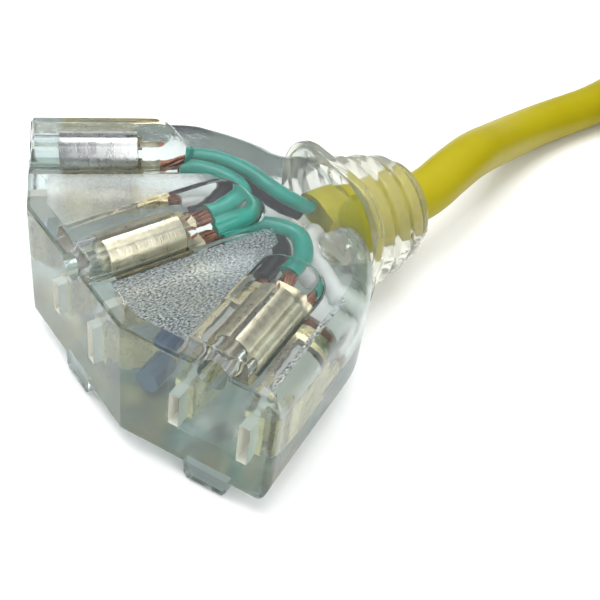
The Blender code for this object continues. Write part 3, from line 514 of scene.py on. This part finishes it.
def build_stage():
    """Pale floor, dome, an overhead key light and a weaker one from the right."""
    bm = bmesh.new()
    bmesh.ops.create_grid(bm, x_segments=1, y_segments=1, size=3.0)
    floor = shape("floor", bm, Matrix.Translation((0, 0, -0.0002)))
    mat, tree, shader = new_material("pale_floor")
    paper = noise(tree, object_coordinates(tree), 30.0)
    tree.links.new(ramp(tree, paper, [(0.0, (0.93, 0.93, 0.93)), (1.0, (0.95, 0.95, 0.95))]),
                   shader.inputs["Base Color"])
    shader.inputs["Roughness"].default_value = 0.9
    shader.inputs["Specular IOR Level"].default_value = 0.1
    floor.data.materials.append(mat)
    build_world()
    area_light("key", (-0.16, -0.04, 0.85), (0, 0, 0), (0.8, 0.8), 8.5)
    area_light("fill", (0.60, -0.10, 0.50), (0, 0, 0), (0.5, 0.5), 2.0)
    view = bpy.context.scene.view_settings
    view.view_transform = "Standard"
    view.look = "None"
    view.exposure = 0.0


# ---- cord ----
def turn_radius(column):
    """End radius of the turns in a column, counted from the inside."""
    return HANK_INNER + column * HANK_PITCH


def hank_straight():
    """Length of the hank's straight sides, which uses up the cord that the rest leaves over."""
    run = path_length(smooth_curve([Vector(p) for p in RUN_ROUTE]))
    tail = path_length(smooth_curve([Vector(p) for p in TAIL_ROUTE]))
    full_rows, last_row = divmod(HANK_TURNS, HANK_COLUMNS)
    radii = sum(turn_radius(column) for column in range(HANK_COLUMNS)) * full_rows
    radii += sum(turn_radius(column) for column in range(last_row))
    quarter = turn_radius(HANK_COLUMNS - 1) * math.pi / 2
    return (CORD_LENGTH - run - tail - quarter - 2 * math.pi * radii) / (2 * HANK_TURNS + 1)


STRAIGHT = hank_straight()
HANK_TOP = HANK_FLOOR + 2 * CORD_RADIUS + (HANK_ROWS - 1) * HANK_PITCH


def hank_slot(turn):
    """(column, layer) of a turn: layers run in, out, in and out again."""
    layer, step = divmod(turn, HANK_COLUMNS)
    return (HANK_COLUMNS - 1 - step if layer % 2 == 0 else step), layer


def strap_lift(y):
    """How far the turns rise where they pass over the strap."""
    away = abs(y - HANK_NEAR_Y - STRAIGHT / 2)
    return STRAP_LIFT * (1 - ease((away - 0.0105) / 0.022))


def hank_turn(turn):
    """One turn: west side, far end, east side and near end, where it changes column and layer."""
    (column, layer), (next_column, next_layer) = hank_slot(turn), hank_slot(turn + 1)
    radius, height = turn_radius(column), HANK_FLOOR + CORD_RADIUS + layer * HANK_PITCH
    points = []
    for step in range(STRAIGHT_STEPS):
        y = HANK_NEAR_Y + STRAIGHT * step / STRAIGHT_STEPS
        points.append(Vector((HANK_X - radius, y, height + strap_lift(y))))
    for step in range(ARC_STEPS):
        angle = math.pi * step / ARC_STEPS
        points.append(Vector((HANK_X - radius * math.cos(angle),
                              HANK_NEAR_Y + STRAIGHT + radius * math.sin(angle), height)))
    for step in range(STRAIGHT_STEPS):
        y = HANK_NEAR_Y + STRAIGHT * (1 - step / STRAIGHT_STEPS)
        points.append(Vector((HANK_X + radius, y, height)))
    for step in range(ARC_STEPS):
        share = step / ARC_STEPS
        angle = math.pi * share
        reach = radius + (turn_radius(next_column) - radius) * ease((share - 0.05) / 0.40)
        rise = height + (next_layer - layer) * HANK_PITCH * ease((share - 0.50) / 0.45)
        points.append(Vector((HANK_X + reach * math.cos(angle), HANK_NEAR_Y - reach * math.sin(angle), rise)))
    return points


def build_cord():
    """The whole cord in one curve: run, turns, the quarter turn that ends the hank, and tail."""
    path = smooth_curve([Vector(p) for p in RUN_ROUTE])[:-1]
    for turn in range(HANK_TURNS):
        path += hank_turn(turn)
    path += hank_turn(HANK_TURNS)[:STRAIGHT_STEPS + ARC_STEPS // 2]
    far_end = Vector((HANK_X, HANK_NEAR_Y + STRAIGHT, 0))
    path += smooth_curve([far_end + Vector(p) for p in TAIL_ROUTE])
    cord = curve_object("power_cord", [path], CORD_RADIUS, 7)
    return finish_piece(cord, ["jacket"], ["cord_run", "cord_coil", "cord_tail"])


def rounded_rectangle(x0, x1, z0, z1, corner, y, steps):
    """Ring in a plane of constant Y, with an arc of that many steps at each corner."""
    points = []
    for cx, cz, start in ((x1 - corner, z1 - corner, 0), (x0 + corner, z1 - corner, 90),
                          (x0 + corner, z0 + corner, 180), (x1 - corner, z0 + corner, 270)):
        for step in range(steps + 1):
            angle = math.radians(start + 90 * step / steps)
            points.append(Vector((cx + corner * math.cos(angle), y, cz + corner * math.sin(angle))))
    return points


def build_strap():
    """Strap round the hank's west side."""
    outer = turn_radius(HANK_COLUMNS - 1) + CORD_RADIUS + GAP
    inner = HANK_INNER - CORD_RADIUS - GAP
    low = HANK_FLOOR + TIE_THICKNESS
    high = HANK_TOP + STRAP_LIFT + 0.0002
    place = Matrix.Translation((HANK_X, HANK_NEAR_Y + STRAIGHT / 2, 0))
    edge = TIE_WIDTH / 2
    bevel = edge - 0.0003
    skin = TIE_THICKNESS - STRAP_EDGE_ROUND
    sections = []
    for grow, y in ((0.0, -bevel), (STRAP_EDGE_ROUND, -edge), (skin, -edge), (TIE_THICKNESS, -bevel),
                    (TIE_THICKNESS, 0.0), (TIE_THICKNESS, bevel), (skin, edge), (STRAP_EDGE_ROUND, edge),
                    (0.0, bevel)):
        sections.append(rounded_rectangle(-outer - grow, -inner + grow, low - grow, high + grow,
                                          STRAP_CORNER + grow, y, 8))
    strap = shape("coil_strap", looped(sections), place)
    return finish_piece(strap, ["strap"], ["coil_tie"])


# ---- plug ----
def superellipse(half_x, half_z, y, count=64, power=3.4):
    points = []
    for step in range(count):
        angle = 2 * math.pi * step / count
        c, s = math.cos(angle), math.sin(angle)
        points.append(Vector((math.copysign(abs(c) ** (2 / power), c) * half_x, y,
                              math.copysign(abs(s) ** (2 / power), s) * half_z)))
    return points


def turned(profile, sides):
    """Solid of revolution about Y from a closed (radius, y) profile."""
    sections = []
    for step in range(sides):
        angle = 2 * math.pi * step / sides
        sections.append([(r * math.cos(angle), y, r * math.sin(angle)) for r, y in profile])
    return looped(sections)


def rounded_profile(points, radius=0.0004, steps=3):
    """Round the corners of an open (radius, y) profile with short arcs."""
    done = [points[0]]
    for before, here, after in zip(points, points[1:], points[2:]):
        a, b, c = Vector(before), Vector(here), Vector(after)
        reach = min(radius, 0.45 * (a - b).length, 0.45 * (c - b).length)
        start = b + (a - b).normalized() * reach
        end = b + (c - b).normalized() * reach
        for step in range(steps + 1):
            t = step / steps
            point = (1 - t) ** 2 * start + 2 * t * (1 - t) * b + t * t * end
            done.append((point.x, point.y))
    return done + [points[-1]]


def box_shape(name, x_range, y_range, z_range, matrix):
    bm = bmesh.new()
    bmesh.ops.create_cube(bm, size=1.0)
    middle = [(a + b) / 2 for a, b in (x_range, y_range, z_range)]
    span = [b - a for a, b in (x_range, y_range, z_range)]
    bmesh.ops.scale(bm, vec=span, verts=bm.verts)
    bmesh.ops.translate(bm, vec=middle, verts=bm.verts)
    return shape(name, bm, matrix)


def rod_shape(name, start, end, radius, sides, matrix=None):
    start, end = Vector(start), Vector(end)
    axis = end - start
    bm = bmesh.new()
    place = Matrix.Translation((start + end) / 2) @ axis.to_track_quat("Z", "Y").to_matrix().to_4x4()
    bmesh.ops.create_cone(bm, cap_ends=True, segments=sides, radius1=radius, radius2=radius,
                          depth=axis.length, matrix=place)
    return shape(name, bm, matrix)


def build_plug_relief(back, place):
    """Ribbed relief that widens towards the plug's body."""
    outline = [(0.0053, 0.0), (0.0066, -0.0001), (0.0072, -0.0012)]
    for rib in range(5):
        y = -0.0030 - 0.0040 * rib
        grow = 0.0004 * rib
        outline += [(0.0068 + grow, y + 0.0006), (0.0080 + grow, y), (0.0080 + grow, y - 0.0018),
                    (0.0068 + grow, y - 0.0024)]
    outline += [(0.0092, back + 0.0006), (0.0092, back), (0.0053, back)]
    relief = shape("plug_relief", turned(rounded_profile(outline), 64), place)
    return finish_piece(relief, ["jacket"], ["plug_strain_relief"])


def build_plug_body(back, front, place):
    """Moulded body with a seat for the insert and four grip grooves on each side."""
    stations = [(0.0098, 0.0098, back - GAP), (0.0104, 0.0103, back - 0.0012),
                (0.0122, 0.0119, back - 0.0040), (0.0138, 0.0133, back - 0.0075),
                (0.0154, 0.0144, back - 0.0120), (0.0163, 0.0150, back - 0.0170),
                (0.0168, PLUG_HALF_HEIGHT, back - 0.0260), (0.0167, 0.0152, front + 0.0030),
                (0.0164, 0.0150, front + 0.0010), (0.0159, 0.0145, front + 0.0002),
                (0.0152, 0.0138, front)]
    body = shape("plug_shell", lofted([superellipse(*station) for station in stations]), place)
    seat = lofted([superellipse(0.0132, 0.0122, y) for y in (front - 0.002, front + 0.0020)])
    cut(body, shape("seat", seat, place))
    for grip in range(4):
        y = back - 0.0150 - 0.0032 * grip
        for sign in (-1, 1):
            x = sign * 0.0176
            cut(body, rod_shape("groove", (x, y, -0.0075), (x, y, 0.0075), 0.0012, 16, place))
    return finish_piece(body, ["jacket"], ["plug_body"])


def build_plug_insert(front, place):
    plate = lofted([superellipse(0.0129, 0.0119, front + 0.0017),
                    superellipse(0.0129, 0.0119, front - 0.0001),
                    superellipse(0.0126, 0.0116, front - 0.0004)])
    return finish_piece(shape("plug_insert", plate, place), ["bridge"], ["plug_bridge"])


def build_plug_blade(tag, across, half, front, place):
    """Flat blade with a tapered tip and a hole."""
    tip = front - PLUG_BLADE_LENGTH
    sections = []
    for thick, reach, y in ((0.00075, half, front + 0.004), (0.00075, half, tip + 0.0018),
                            (0.00060, half - 0.0003, tip + 0.0009), (0.00030, half - 0.0012, tip)):
        sections.append([Vector((across + sx * thick, y, PLUG_BLADE_Z + sz * reach))
                         for sx, sz in ((-1, -1), (1, -1), (1, 1), (-1, 1))])
    blade = shape(f"{tag}_blade", lofted(sections), place)
    hole = rod_shape("hole", (across - 0.002, tip + 0.0042, PLUG_BLADE_Z),
                     (across + 0.002, tip + 0.0042, PLUG_BLADE_Z), 0.0015, 24, place)
    cut(blade, hole)
    return finish_piece(blade, ["prong"], [f"plug_{tag}_blade"])


def build_plug_pin(front, place):
    """Round ground pin with a domed tip."""
    tip = front - PLUG_PIN_LENGTH
    pin_z = PLUG_BLADE_Z + GROUND_RISE
    rings = []
    for radius, y in ((0.0024, front + 0.004), (0.0024, tip + 0.0026), (0.0022, tip + 0.0014),
                      (0.0017, tip + 0.0006), (0.0009, tip + 0.0001), (0.0003, tip)):
        rings.append([Vector((radius * math.cos(angle), y, pin_z + radius * math.sin(angle)))
                      for angle in (2 * math.pi * step / 32 for step in range(32))])
    pin = shape("ground_pin", lofted(rings), place)
    return finish_piece(pin, ["prong"], ["plug_ground_pin"])


def build_plug():
    """Grounded plug on top of the hank, pointing towards the block."""
    place = Matrix.Translation((HANK_X + PLUG_SIDE, HANK_NEAR_Y + STRAIGHT - PLUG_SETBACK,
                                HANK_TOP + GAP + PLUG_HALF_HEIGHT))
    back = -PLUG_RELIEF_LENGTH
    front = back - GAP - PLUG_BODY_LENGTH
    return [build_plug_relief(back, place), build_plug_body(back, front, place),
            build_plug_insert(front, place),
            build_plug_blade("neutral", -BLADE_PITCH / 2, 0.0039, front, place),
            build_plug_blade("line", BLADE_PITCH / 2, 0.0032, front, place), build_plug_pin(front, place)]


# ---- clear moulding ----
def arc_between(before, corner, after, radius, steps):
    """Points that round a plan corner."""
    a, b = (before - corner).normalized(), (after - corner).normalized()
    half = a.angle(b) / 2
    reach = radius / math.tan(half)
    start, end = corner + a * reach, corner + b * reach
    return [(1 - t) ** 2 * start + 2 * t * (1 - t) * corner + t * t * end
            for t in (step / steps for step in range(steps + 1))]


def block_outline():
    """Plan of the block as (point, edge rounding), counter-clockwise from the centre's right edge."""
    edge = outlet_point(1, -FACE_HALF, 0, 0)
    corner = outlet_point(1, SIDE_HALF, 0, 0)
    bend = outlet_point(1, SIDE_HALF, 0.0300, 0)
    waist = [hub_point(NECK_HALF + out, y, 0) for out, y in
             ((0.0128, -0.0288), (0.0084, -0.0248), (0.0040, -0.0216), (0.0010, -0.0200))]
    neck = hub_point(NECK_HALF, NECK_BACK + NECK_INTO_FLANGE, 0)
    marks = [(point, EDGE_ROUND) for point in arc_between(outlet_point(0, 0, 0, 0), edge, corner, 0.0006, 2)]
    turn = arc_between(edge, corner, bend, CORNER_ROUND, 6)
    for index, point in enumerate(turn):
        marks.append((point, EDGE_ROUND + (SIDE_ROUND - EDGE_ROUND) * ease(index / (len(turn) - 1))))
    side = smooth_curve([outlet_point(1, SIDE_HALF, 0.0200, 0), bend] + waist + [neck], 5)
    for index, point in enumerate(side):
        marks.append((point, SIDE_ROUND + (NECK_ROUND - SIDE_ROUND) * ease(index / (len(side) - 1))))
    mirrored = [(Vector((-point.x, point.y, 0)), rounding) for point, rounding in reversed(marks)]
    return marks + mirrored


def inset_outline(marks, share):
    """The outline pulled in by share of each point's rounding."""
    points = []
    count = len(marks)
    for index, (point, rounding) in enumerate(marks):
        before, after = marks[index - 1][0], marks[(index + 1) % count][0]
        ahead, behind = (after - point).normalized(), (point - before).normalized()
        normal_a, normal_b = Vector((-ahead.y, ahead.x, 0)), Vector((-behind.y, behind.x, 0))
        if ahead.dot(behind) < 0.5:
            sideways = max(normal_a, normal_b, key=lambda normal: abs(normal.x))
            points.append(point + sideways * share * rounding)
            continue
        middle = (normal_a + normal_b).normalized()
        stretch = 1 / max(0.5, middle.dot(normal_a))
        points.append(point + middle * share * rounding * stretch)
    return points


def block_body():
    """Fan-shaped block with its lower and upper edges rounded."""
    marks = block_outline()
    sections = []
    steps = 7
    for end in (0, 1):
        for step in range(steps + 1):
            angle = math.radians(90 * (step if end else steps - step) / steps)
            ring = inset_outline(marks, 1 - math.cos(angle))
            height = []
            for point, (_, rounding) in zip(ring, marks):
                drop = rounding * (1 - math.sin(angle))
                z = SHOULDER_Z - drop if end else BASE_Z + drop
                height.append(Vector((point.x, point.y, z)))
            sections.append(height)
    return shape("clear_moulding", lofted(sections))


def ridge_body(side_name):
    """Raised rib over one ground contact, square at the face and round at the back."""
    length = RIDGE_LENGTH[side_name]
    sections = []
    levels = [(SHOULDER_Z - 0.004, 0.0, 0.0002), (SHOULDER_Z, 0.0, 0.0002)]
    levels += [(SHOULDER_Z + 0.0006, 0.00025, 0.0004), (RIDGE_Z - 0.0011, 0.00070, 0.0007)]
    for step in range(1, 5):
        angle = math.radians(90 * step / 4)
        levels.append((RIDGE_Z - 0.0011 * (1 - math.sin(angle)), 0.0007 + 0.0011 * (1 - math.cos(angle)),
                       0.0007 + 0.0008 * (1 - math.cos(angle))))
    for height, inset, lean in levels:
        half = RIDGE_FOOT_HALF - inset
        slope = 0.0030 * max(0.0, height - SHOULDER_Z) / (RIDGE_Z - SHOULDER_Z)
        points = [Vector((-half, lean, height)), Vector((half, lean, height))]
        for step in range(25):
            angle = math.pi * step / 24
            back = length - RIDGE_FOOT_HALF - 0.0012 + (half + 0.0012 - slope) * math.sin(angle)
            points.append(Vector((half * math.cos(angle), back, height)))
        sections.append(points)
    return shape("ridge", lofted(sections), outlet_matrix(OUTLETS[side_name]))


def lug_body(side):
    """Small foot below a face."""
    sections = []
    for height, half, inset in ((0.0, 0.0028, 0.0004), (0.0005, 0.0034, 0.0), (0.0016, 0.0041, 0.0),
                                (BASE_Z + 0.001, 0.0043, 0.0)):
        sections.append([Vector((x, y, height)) for x, y in
                         ((-half, 0.0003 + inset), (half, 0.0003 + inset), (half, 0.0028 - inset),
                          (-half, 0.0028 - inset))])
    return shape("lug", lofted(sections), outlet_matrix(side))


def relief_profile():
    """Outside of the ribbed cone: (radius, y from the pivot), from inside the neck to the cord."""
    outside = [(0.0100, -0.0220), (0.0112, -0.0180), (0.0112, -0.0152),
               (0.0134, -0.0146), (0.0136, -0.0116), (0.0114, -0.0108), (0.0114, -0.0100),
               (0.0126, -0.0096), (0.0126, -0.0068), (0.0104, -0.0060), (0.0104, -0.0053),
               (0.0115, -0.0049), (0.0114, -0.0026), (0.0090, -0.0018), (0.0090, -0.0012), (0.0098, -0.0009),
               (0.0094, 0.0006), (0.0074, 0.0014), (0.0062, RELIEF_BACK), (0.0040, RELIEF_BACK)]
    return rounded_profile(outside, 0.0005, 3)


def flange_body():
    """Collar round the neck's end: a rounded square with two steps."""
    sections = []
    for grow, y in ((-0.0030, -0.0235), (-0.0002, -0.0206), (0.0004, -0.0196), (0.0012, -0.0190),
                    (0.0020, -0.0186), (0.0022, -0.0182), (0.0022, -0.0172), (0.0020, -0.0168),
                    (0.0012, -0.0165), (0.0010, -0.0162), (0.0009, -0.0156), (0.0004, -0.0152),
                    (-0.0008, -0.0150)):
        half = NECK_HALF + grow
        low = max(FLANGE_FLOOR_Z, BASE_Z - grow - 0.0022)
        high = SHOULDER_Z + grow
        sections.append(rounded_rectangle(-half, half, low, high, FLANGE_CORNER, PIVOT_Y + y, 12))
    return shape("flange", lofted(sections))


def relief_body():
    """Solid cone with a raised parting line on each side."""
    angles = [math.radians(3 * step) for step in range(120)]
    sections = []
    for radius, y in relief_profile():
        ring = []
        for angle in angles:
            seam = max(0.0, 1 - abs(math.sin(angle)) / 0.055)
            reach = radius + 0.00022 * seam
            ring.append(Vector((reach * math.cos(angle), y, reach * math.sin(angle))))
        sections.append(ring)
    return shape("relief", lofted(sections), Matrix.Translation((0, PIVOT_Y, AXIS_Z)))


def panel_recess(sign):
    """Shallow stippled field on the top between the centre ridge and a side ridge."""
    points = [outlet_point(0, sign * 0.0070, 0.0034, 0), outlet_point(0, sign * 0.0158, 0.0034, 0),
              outlet_point(sign, -sign * 0.0158, 0.0034, 0), outlet_point(sign, -sign * 0.0070, 0.0034, 0),
              outlet_point(sign, -sign * 0.0070, 0.0262, 0), hub_point(sign * 0.0112, -0.0388, 0),
              hub_point(sign * 0.0078, -0.0376, 0), outlet_point(0, sign * 0.0070, 0.0330, 0)]
    rings = [[Vector((p.x, p.y, z)) for p in points] for z in (PANEL_Z, SHOULDER_Z + 0.001)]
    return shape("panel", lofted(rings))


def moulding_finish(polygon):
    """Which finish a face of the moulding has, from where it is and which way it looks. The slot walls get a
    bright cream copy of the clear PVC, the edges a darker one and the upward faces a lighter one: painted
    light and shade.
    """
    centre, normal = polygon.center, polygon.normal
    for side in OUTLETS.values():
        local = outlet_matrix(side).inverted() @ centre
        inside = 0.0001 < local.y < SLOT_DEPTH + 0.0001
        beside_slot = abs(abs(local.x) - BLADE_PITCH / 2) < SLOT_WIDTH / 2 + 0.00002
        # the slot walls get the bright cream slot copy: painted light
        if inside and beside_slot and abs(local.z - BLADE_Z) < NEUTRAL_SLOT_HEIGHT / 2 + 0.00002:
            return "slot"
        if abs(local.y) < 0.0001 and abs(local.x) < FACE_HALF + 0.0001 and normal.z < 0.5:
            return "face"
        # a thin band along each outlet face's edge gets the darker edge copy: painted shade
        if abs(local.y) < 0.0007 and abs(local.x) < FACE_HALF + 0.0003 and centre.z < SHOULDER_Z:
            return "edge"
    if centre.y > PIVOT_Y + COLLAR_START_Y:
        return "collar"
    # the ridge feet get the darker edge copy: painted shade in the crease
    if SHOULDER_Z + 0.00002 < centre.z < SHOULDER_Z + 0.00055:
        return "edge"
    if centre.z > SHOULDER_Z + 0.00005 or centre.z < BASE_Z - 0.0001:
        return "clear"
    if normal.z > 0.9 and abs(centre.z - PANEL_Z) < 0.00002:
        return "stipple" if centre.x > 0 else "frost"
    # upward faces get the lighter top copy (painted light); the rest keep the hazy body's tint
    return "top" if normal.z > 0.95 else "haze"


def build_moulding():
    """Block, ridges, lugs, flange and cone as one body, then its panels, slots and holes."""
    block = block_body()
    for side_name, side in OUTLETS.items():
        cut(block, ridge_body(side_name), "UNION")
        cut(block, lug_body(side), "UNION")
    collar = flange_body()
    cut(collar, relief_body(), "UNION")
    cut(block, collar, "UNION")
    for sign in (-1, 1):
        cut(block, panel_recess(sign))
    for side in OUTLETS.values():
        place = outlet_matrix(side)
        for across, height in ((-BLADE_PITCH / 2, LINE_SLOT_HEIGHT), (BLADE_PITCH / 2, NEUTRAL_SLOT_HEIGHT)):
            slot = box_shape("slot", (across - SLOT_WIDTH / 2, across + SLOT_WIDTH / 2),
                             (-0.002, SLOT_DEPTH), (BLADE_Z - height / 2, BLADE_Z + height / 2), place)
            cut(block, slot)
        hole = rod_shape("hole", (0, -0.002, GROUND_Z), (0, SLOT_DEPTH, GROUND_Z), GROUND_HOLE_RADIUS, 48,
                         place)
        cut(block, hole)
    block.data.materials.clear()
    for key in MOULDING_FINISHES:
        block.data.materials.append(MATERIALS[key])
    for polygon in block.data.polygons:
        polygon.material_index = MOULDING_FINISHES.index(moulding_finish(polygon))
    finish_piece(block, [], ["housing", "strain_relief"], sharp=32)
    weighted = block.modifiers.new("weighted", "WEIGHTED_NORMAL")
    weighted.keep_sharp = True


# ---- inside ----
def oval_ring(across, height, outer, flat, y):
    """Round ring pulled apart sideways by flat on each side."""
    points = []
    for step in range(32):
        angle = 2 * math.pi * step / 32
        shift = flat * math.tanh(6 * math.cos(angle))
        points.append(Vector((across + shift + outer * math.cos(angle), y, height + outer * math.sin(angle))))
    return points


def crimp(name, across, height, place):
    """Pressed ferrule with a waist in its middle and flared ends."""
    sections = []
    for grow, y in ((0.0018, CONTACT_BACK + 0.0006), (0.0017, CONTACT_BACK + 0.0010), (0.0016, 0.0212),
                    (0.00150, 0.0218), (0.00150, 0.0224), (0.0016, 0.0229), (0.0018, 0.0234)):
        sections.append(oval_ring(across, height, grow, 0.0013, y))
    return shape(name, lofted(sections), place)


def build_ground_contact(side_name):
    """Rolled barrel with a seam on top, standing on a flat strip, and a crimp behind it."""
    place = outlet_matrix(OUTLETS[side_name])
    sections = []
    gap = math.radians(9)
    count = 48
    for radius, y in ((BARREL_BORE, CONTACT_BACK), (BARREL_BORE, CONTACT_FRONT + 0.0008),
                      (BARREL_BORE + 0.00025, CONTACT_FRONT), (BARREL_RADIUS - 0.0001, CONTACT_FRONT),
                      (BARREL_RADIUS, CONTACT_FRONT + 0.0003), (BARREL_RADIUS, CONTACT_BACK - 0.0001),
                      (BARREL_RADIUS - 0.0001, CONTACT_BACK)):
        ring = []
        for step in range(count):
            angle = math.pi / 2 + gap + (2 * math.pi - 2 * gap) * step / (count - 1)
            ring.append(Vector((radius * math.cos(angle), y, GROUND_Z + radius * math.sin(angle))))
        sections.append(ring)
    bm = bmesh.new()
    rings = ring_vertices(bm, sections)
    for here, there in zip(rings, rings[1:] + rings[:1]):
        bridge(bm, here, there, closed=False)
    bm.faces.new([ring[0] for ring in rings])
    bm.faces.new([ring[-1] for ring in rings])
    contact = shape(f"rolled_barrel_{side_name}", bm, place)
    strip = box_shape(f"ground_strip_{side_name}", (-0.0045, 0.0045),
                      (CONTACT_FRONT + 0.0006, CONTACT_BACK + 0.0010),
                      (GROUND_Z - BARREL_RADIUS - 0.0003, GROUND_Z - BARREL_RADIUS + 0.0004), place)
    plating = "barrel" if side_name == "left" else "gilt"
    finish_piece(contact, [plating], [f"ground_contact_{side_name}"])
    finish_piece(strip, ["strip"])
    ferrule = crimp(f"ground_crimp_{side_name}", 0.0, GROUND_CRIMP_Z, place)
    finish_piece(ferrule, ["ferrule"])


def twisted_strands(name, start, end, seed):
    """Bare strands: loosely twisted and a little ragged."""
    draw = random.Random(seed)
    axis = (end - start).normalized()
    side = axis.cross(Vector((0, 0, 1))).normalized()
    up = side.cross(axis)
    paths = []
    for strand in range(STRAND_COUNT):
        bearing = 2 * math.pi * strand / STRAND_COUNT + draw.uniform(-0.3, 0.3)
        reach = draw.uniform(0.0004, 0.0010)
        overshoot = draw.uniform(0.0, 0.0012)
        path = []
        for step in range(9):
            t = step / 8
            angle = bearing + 1.8 * t
            spread = reach * (1 + 0.65 * math.sin(math.pi * t) * draw.uniform(0.6, 1.0))
            place = start.lerp(end, t) - axis * overshoot * (1 - t)
            path.append(place + spread * (math.cos(angle) * side + math.sin(angle) * up))
        paths.append(path)
    return curve_object(name, paths, STRAND_RADIUS, 3)


def build_strands(circuit, across, height, single):
    """Strands in a circuit's crimps: two wires at each outlet, but one at single."""
    for side_name, side in OUTLETS.items():
        for tag, direction in (("a", -1), ("b", 1)):
            if side_name == single[0] and tag != single[1]:
                continue
            x = across + direction * STRAND_SIDE
            start = outlet_point(side, x, CONTACT_BACK + 0.0014, height)
            end = outlet_point(side, x, WIRE_START - 0.0002, height)
            seed = 10 * (side + 2) + len(circuit) + 100 * direction
            strands = twisted_strands(f"bare_{circuit}_{side_name}_{tag}", start, end, seed)
            finish_piece(strands, ["copper"], [f"{circuit}_strands_{side_name}_{tag}"])


def wire_tail(side, across, crimp_z):
    """Straight start of a wire behind its crimp."""
    return [outlet_point(side, across, WIRE_START + along, crimp_z) for along in (0.0, 0.0030)]


def wire_routes():
    """The frame's wire routes: name, colour and points."""
    g, l, n = GROUND_WIRE_Z, LINE_CRIMP_Z, NEUTRAL_CRIMP_Z

    def mirror(points):
        return [Vector((-p.x, p.y, p.z - l + n)) for p in points]

    line_lead = wire_tail(-1, -CRIMP_OFFSET - WIRE_SIDE, l)
    line_lead += [hub_point(-0.0208, -0.0312, l), hub_point(-0.0150, -0.0296, l),
                  hub_point(-0.0090, -0.0284, l - 0.0006), hub_point(-0.0048, -0.0260, l - 0.0032),
                  hub_point(-0.0027, -0.0232, AXIS_Z - 0.0024)]
    line_1 = wire_tail(-1, -CRIMP_OFFSET + WIRE_SIDE, l)
    line_1 += [hub_point(-0.0185, -0.0346, l), hub_point(-0.0140, -0.0338, l), hub_point(-0.0098, -0.0358, l)]
    line_1 += wire_tail(0, -CRIMP_OFFSET - WIRE_SIDE, l)[::-1]
    line_2 = wire_tail(0, -CRIMP_OFFSET + WIRE_SIDE, l)
    line_2 += [hub_point(-0.0016, -0.0368, l), hub_point(0.0030, -0.0338, l), hub_point(0.0084, -0.0352, l)]
    line_2 += wire_tail(1, -CRIMP_OFFSET - WIRE_SIDE, l)[::-1]
    ground_lead = wire_tail(-1, -WIRE_SIDE, GROUND_CRIMP_Z)
    ground_lead += [hub_point(-0.0172, -0.0330, g), hub_point(-0.0118, -0.0302, g),
                    hub_point(-0.0058, -0.0288, g - 0.0006), hub_point(-0.0016, -0.0262, g - 0.0030),
                    hub_point(0.0, -0.0232, AXIS_Z + 0.0031)]
    ground_1 = wire_tail(-1, WIRE_SIDE, GROUND_CRIMP_Z)
    ground_1 += [hub_point(-0.0132, -0.0354, g), hub_point(-0.0084, -0.0340, g),
                 hub_point(-0.0042, -0.0362, g)]
    ground_1 += wire_tail(0, -WIRE_SIDE, GROUND_CRIMP_Z)[::-1]
    ground_2 = wire_tail(0, WIRE_SIDE, GROUND_CRIMP_Z)
    ground_2 += [hub_point(0.0040, -0.0356, g), hub_point(0.0086, -0.0326, g), hub_point(0.0134, -0.0346, g)]
    ground_2 += wire_tail(1, -WIRE_SIDE, GROUND_CRIMP_Z)[::-1]
    neutral_lead = mirror(line_lead[:-2]) + [hub_point(0.0046, -0.0262, n - 0.0006),
                                             hub_point(0.0027, -0.0232, AXIS_Z - 0.0024)]
    return [("ground_lead", "green", ground_lead), ("ground_jumper_left", "green", ground_1),
            ("ground_jumper_right", "green", ground_2), ("line_lead", "black", line_lead),
            ("line_jumper_left", "black", line_1), ("line_jumper_right", "black", line_2),
            ("neutral_lead", "white", neutral_lead), ("neutral_jumper_right", "white", mirror(line_1)),
            ("neutral_jumper_left", "white", mirror(line_2))]


def build_wires():
    for name, colour, points in wire_routes():
        wire = curve_object(f"insulated_{name}", [smooth_curve(points, 10)], WIRE_RADIUS, 5)
        finish_piece(wire, [colour], [name])


def build_jacket_end():
    end = rod_shape("jacket_stub", hub_point(0, JACKET_FRONT, AXIS_Z),
                    hub_point(0, RELIEF_BACK + 0.0004, AXIS_Z), CORD_RADIUS, 48)
    # the stub gets the brighter jacket copy: painted light
    finish_piece(end, ["stub"], ["jacket_end"])


def dress_frame_nodes():
    """Give the CAD nodes that stay visible their finishes."""
    finishes = {"indicator_lamp": "lamp", "lamp_resistor": "resistor", "lamp_lead_resistor": "lead",
                "lamp_lead_line": "lead"}
    for side_name in OUTLETS:
        finishes[f"contact_carrier_{side_name}"] = "insert"
        finishes[f"line_contact_{side_name}"] = "brass"
        finishes[f"neutral_contact_{side_name}"] = "brass"
    for name, key in finishes.items():
        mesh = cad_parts[name].data
        mesh.materials.clear()
        mesh.materials.append(MATERIALS[key])


def main():
    build_camera()
    cord = build_cord()
    plug = build_plug()
    strap = build_strap()
    build_moulding()
    for side_name in OUTLETS:
        build_ground_contact(side_name)
    build_strands("ground", 0.0, GROUND_CRIMP_Z, ("right", "a"))
    build_strands("line", -CRIMP_OFFSET, LINE_CRIMP_Z, ("right", "a"))
    build_strands("neutral", CRIMP_OFFSET, NEUTRAL_CRIMP_Z, ("left", "b"))
    build_wires()
    build_jacket_end()
    dress_frame_nodes()
    build_stage()


main()
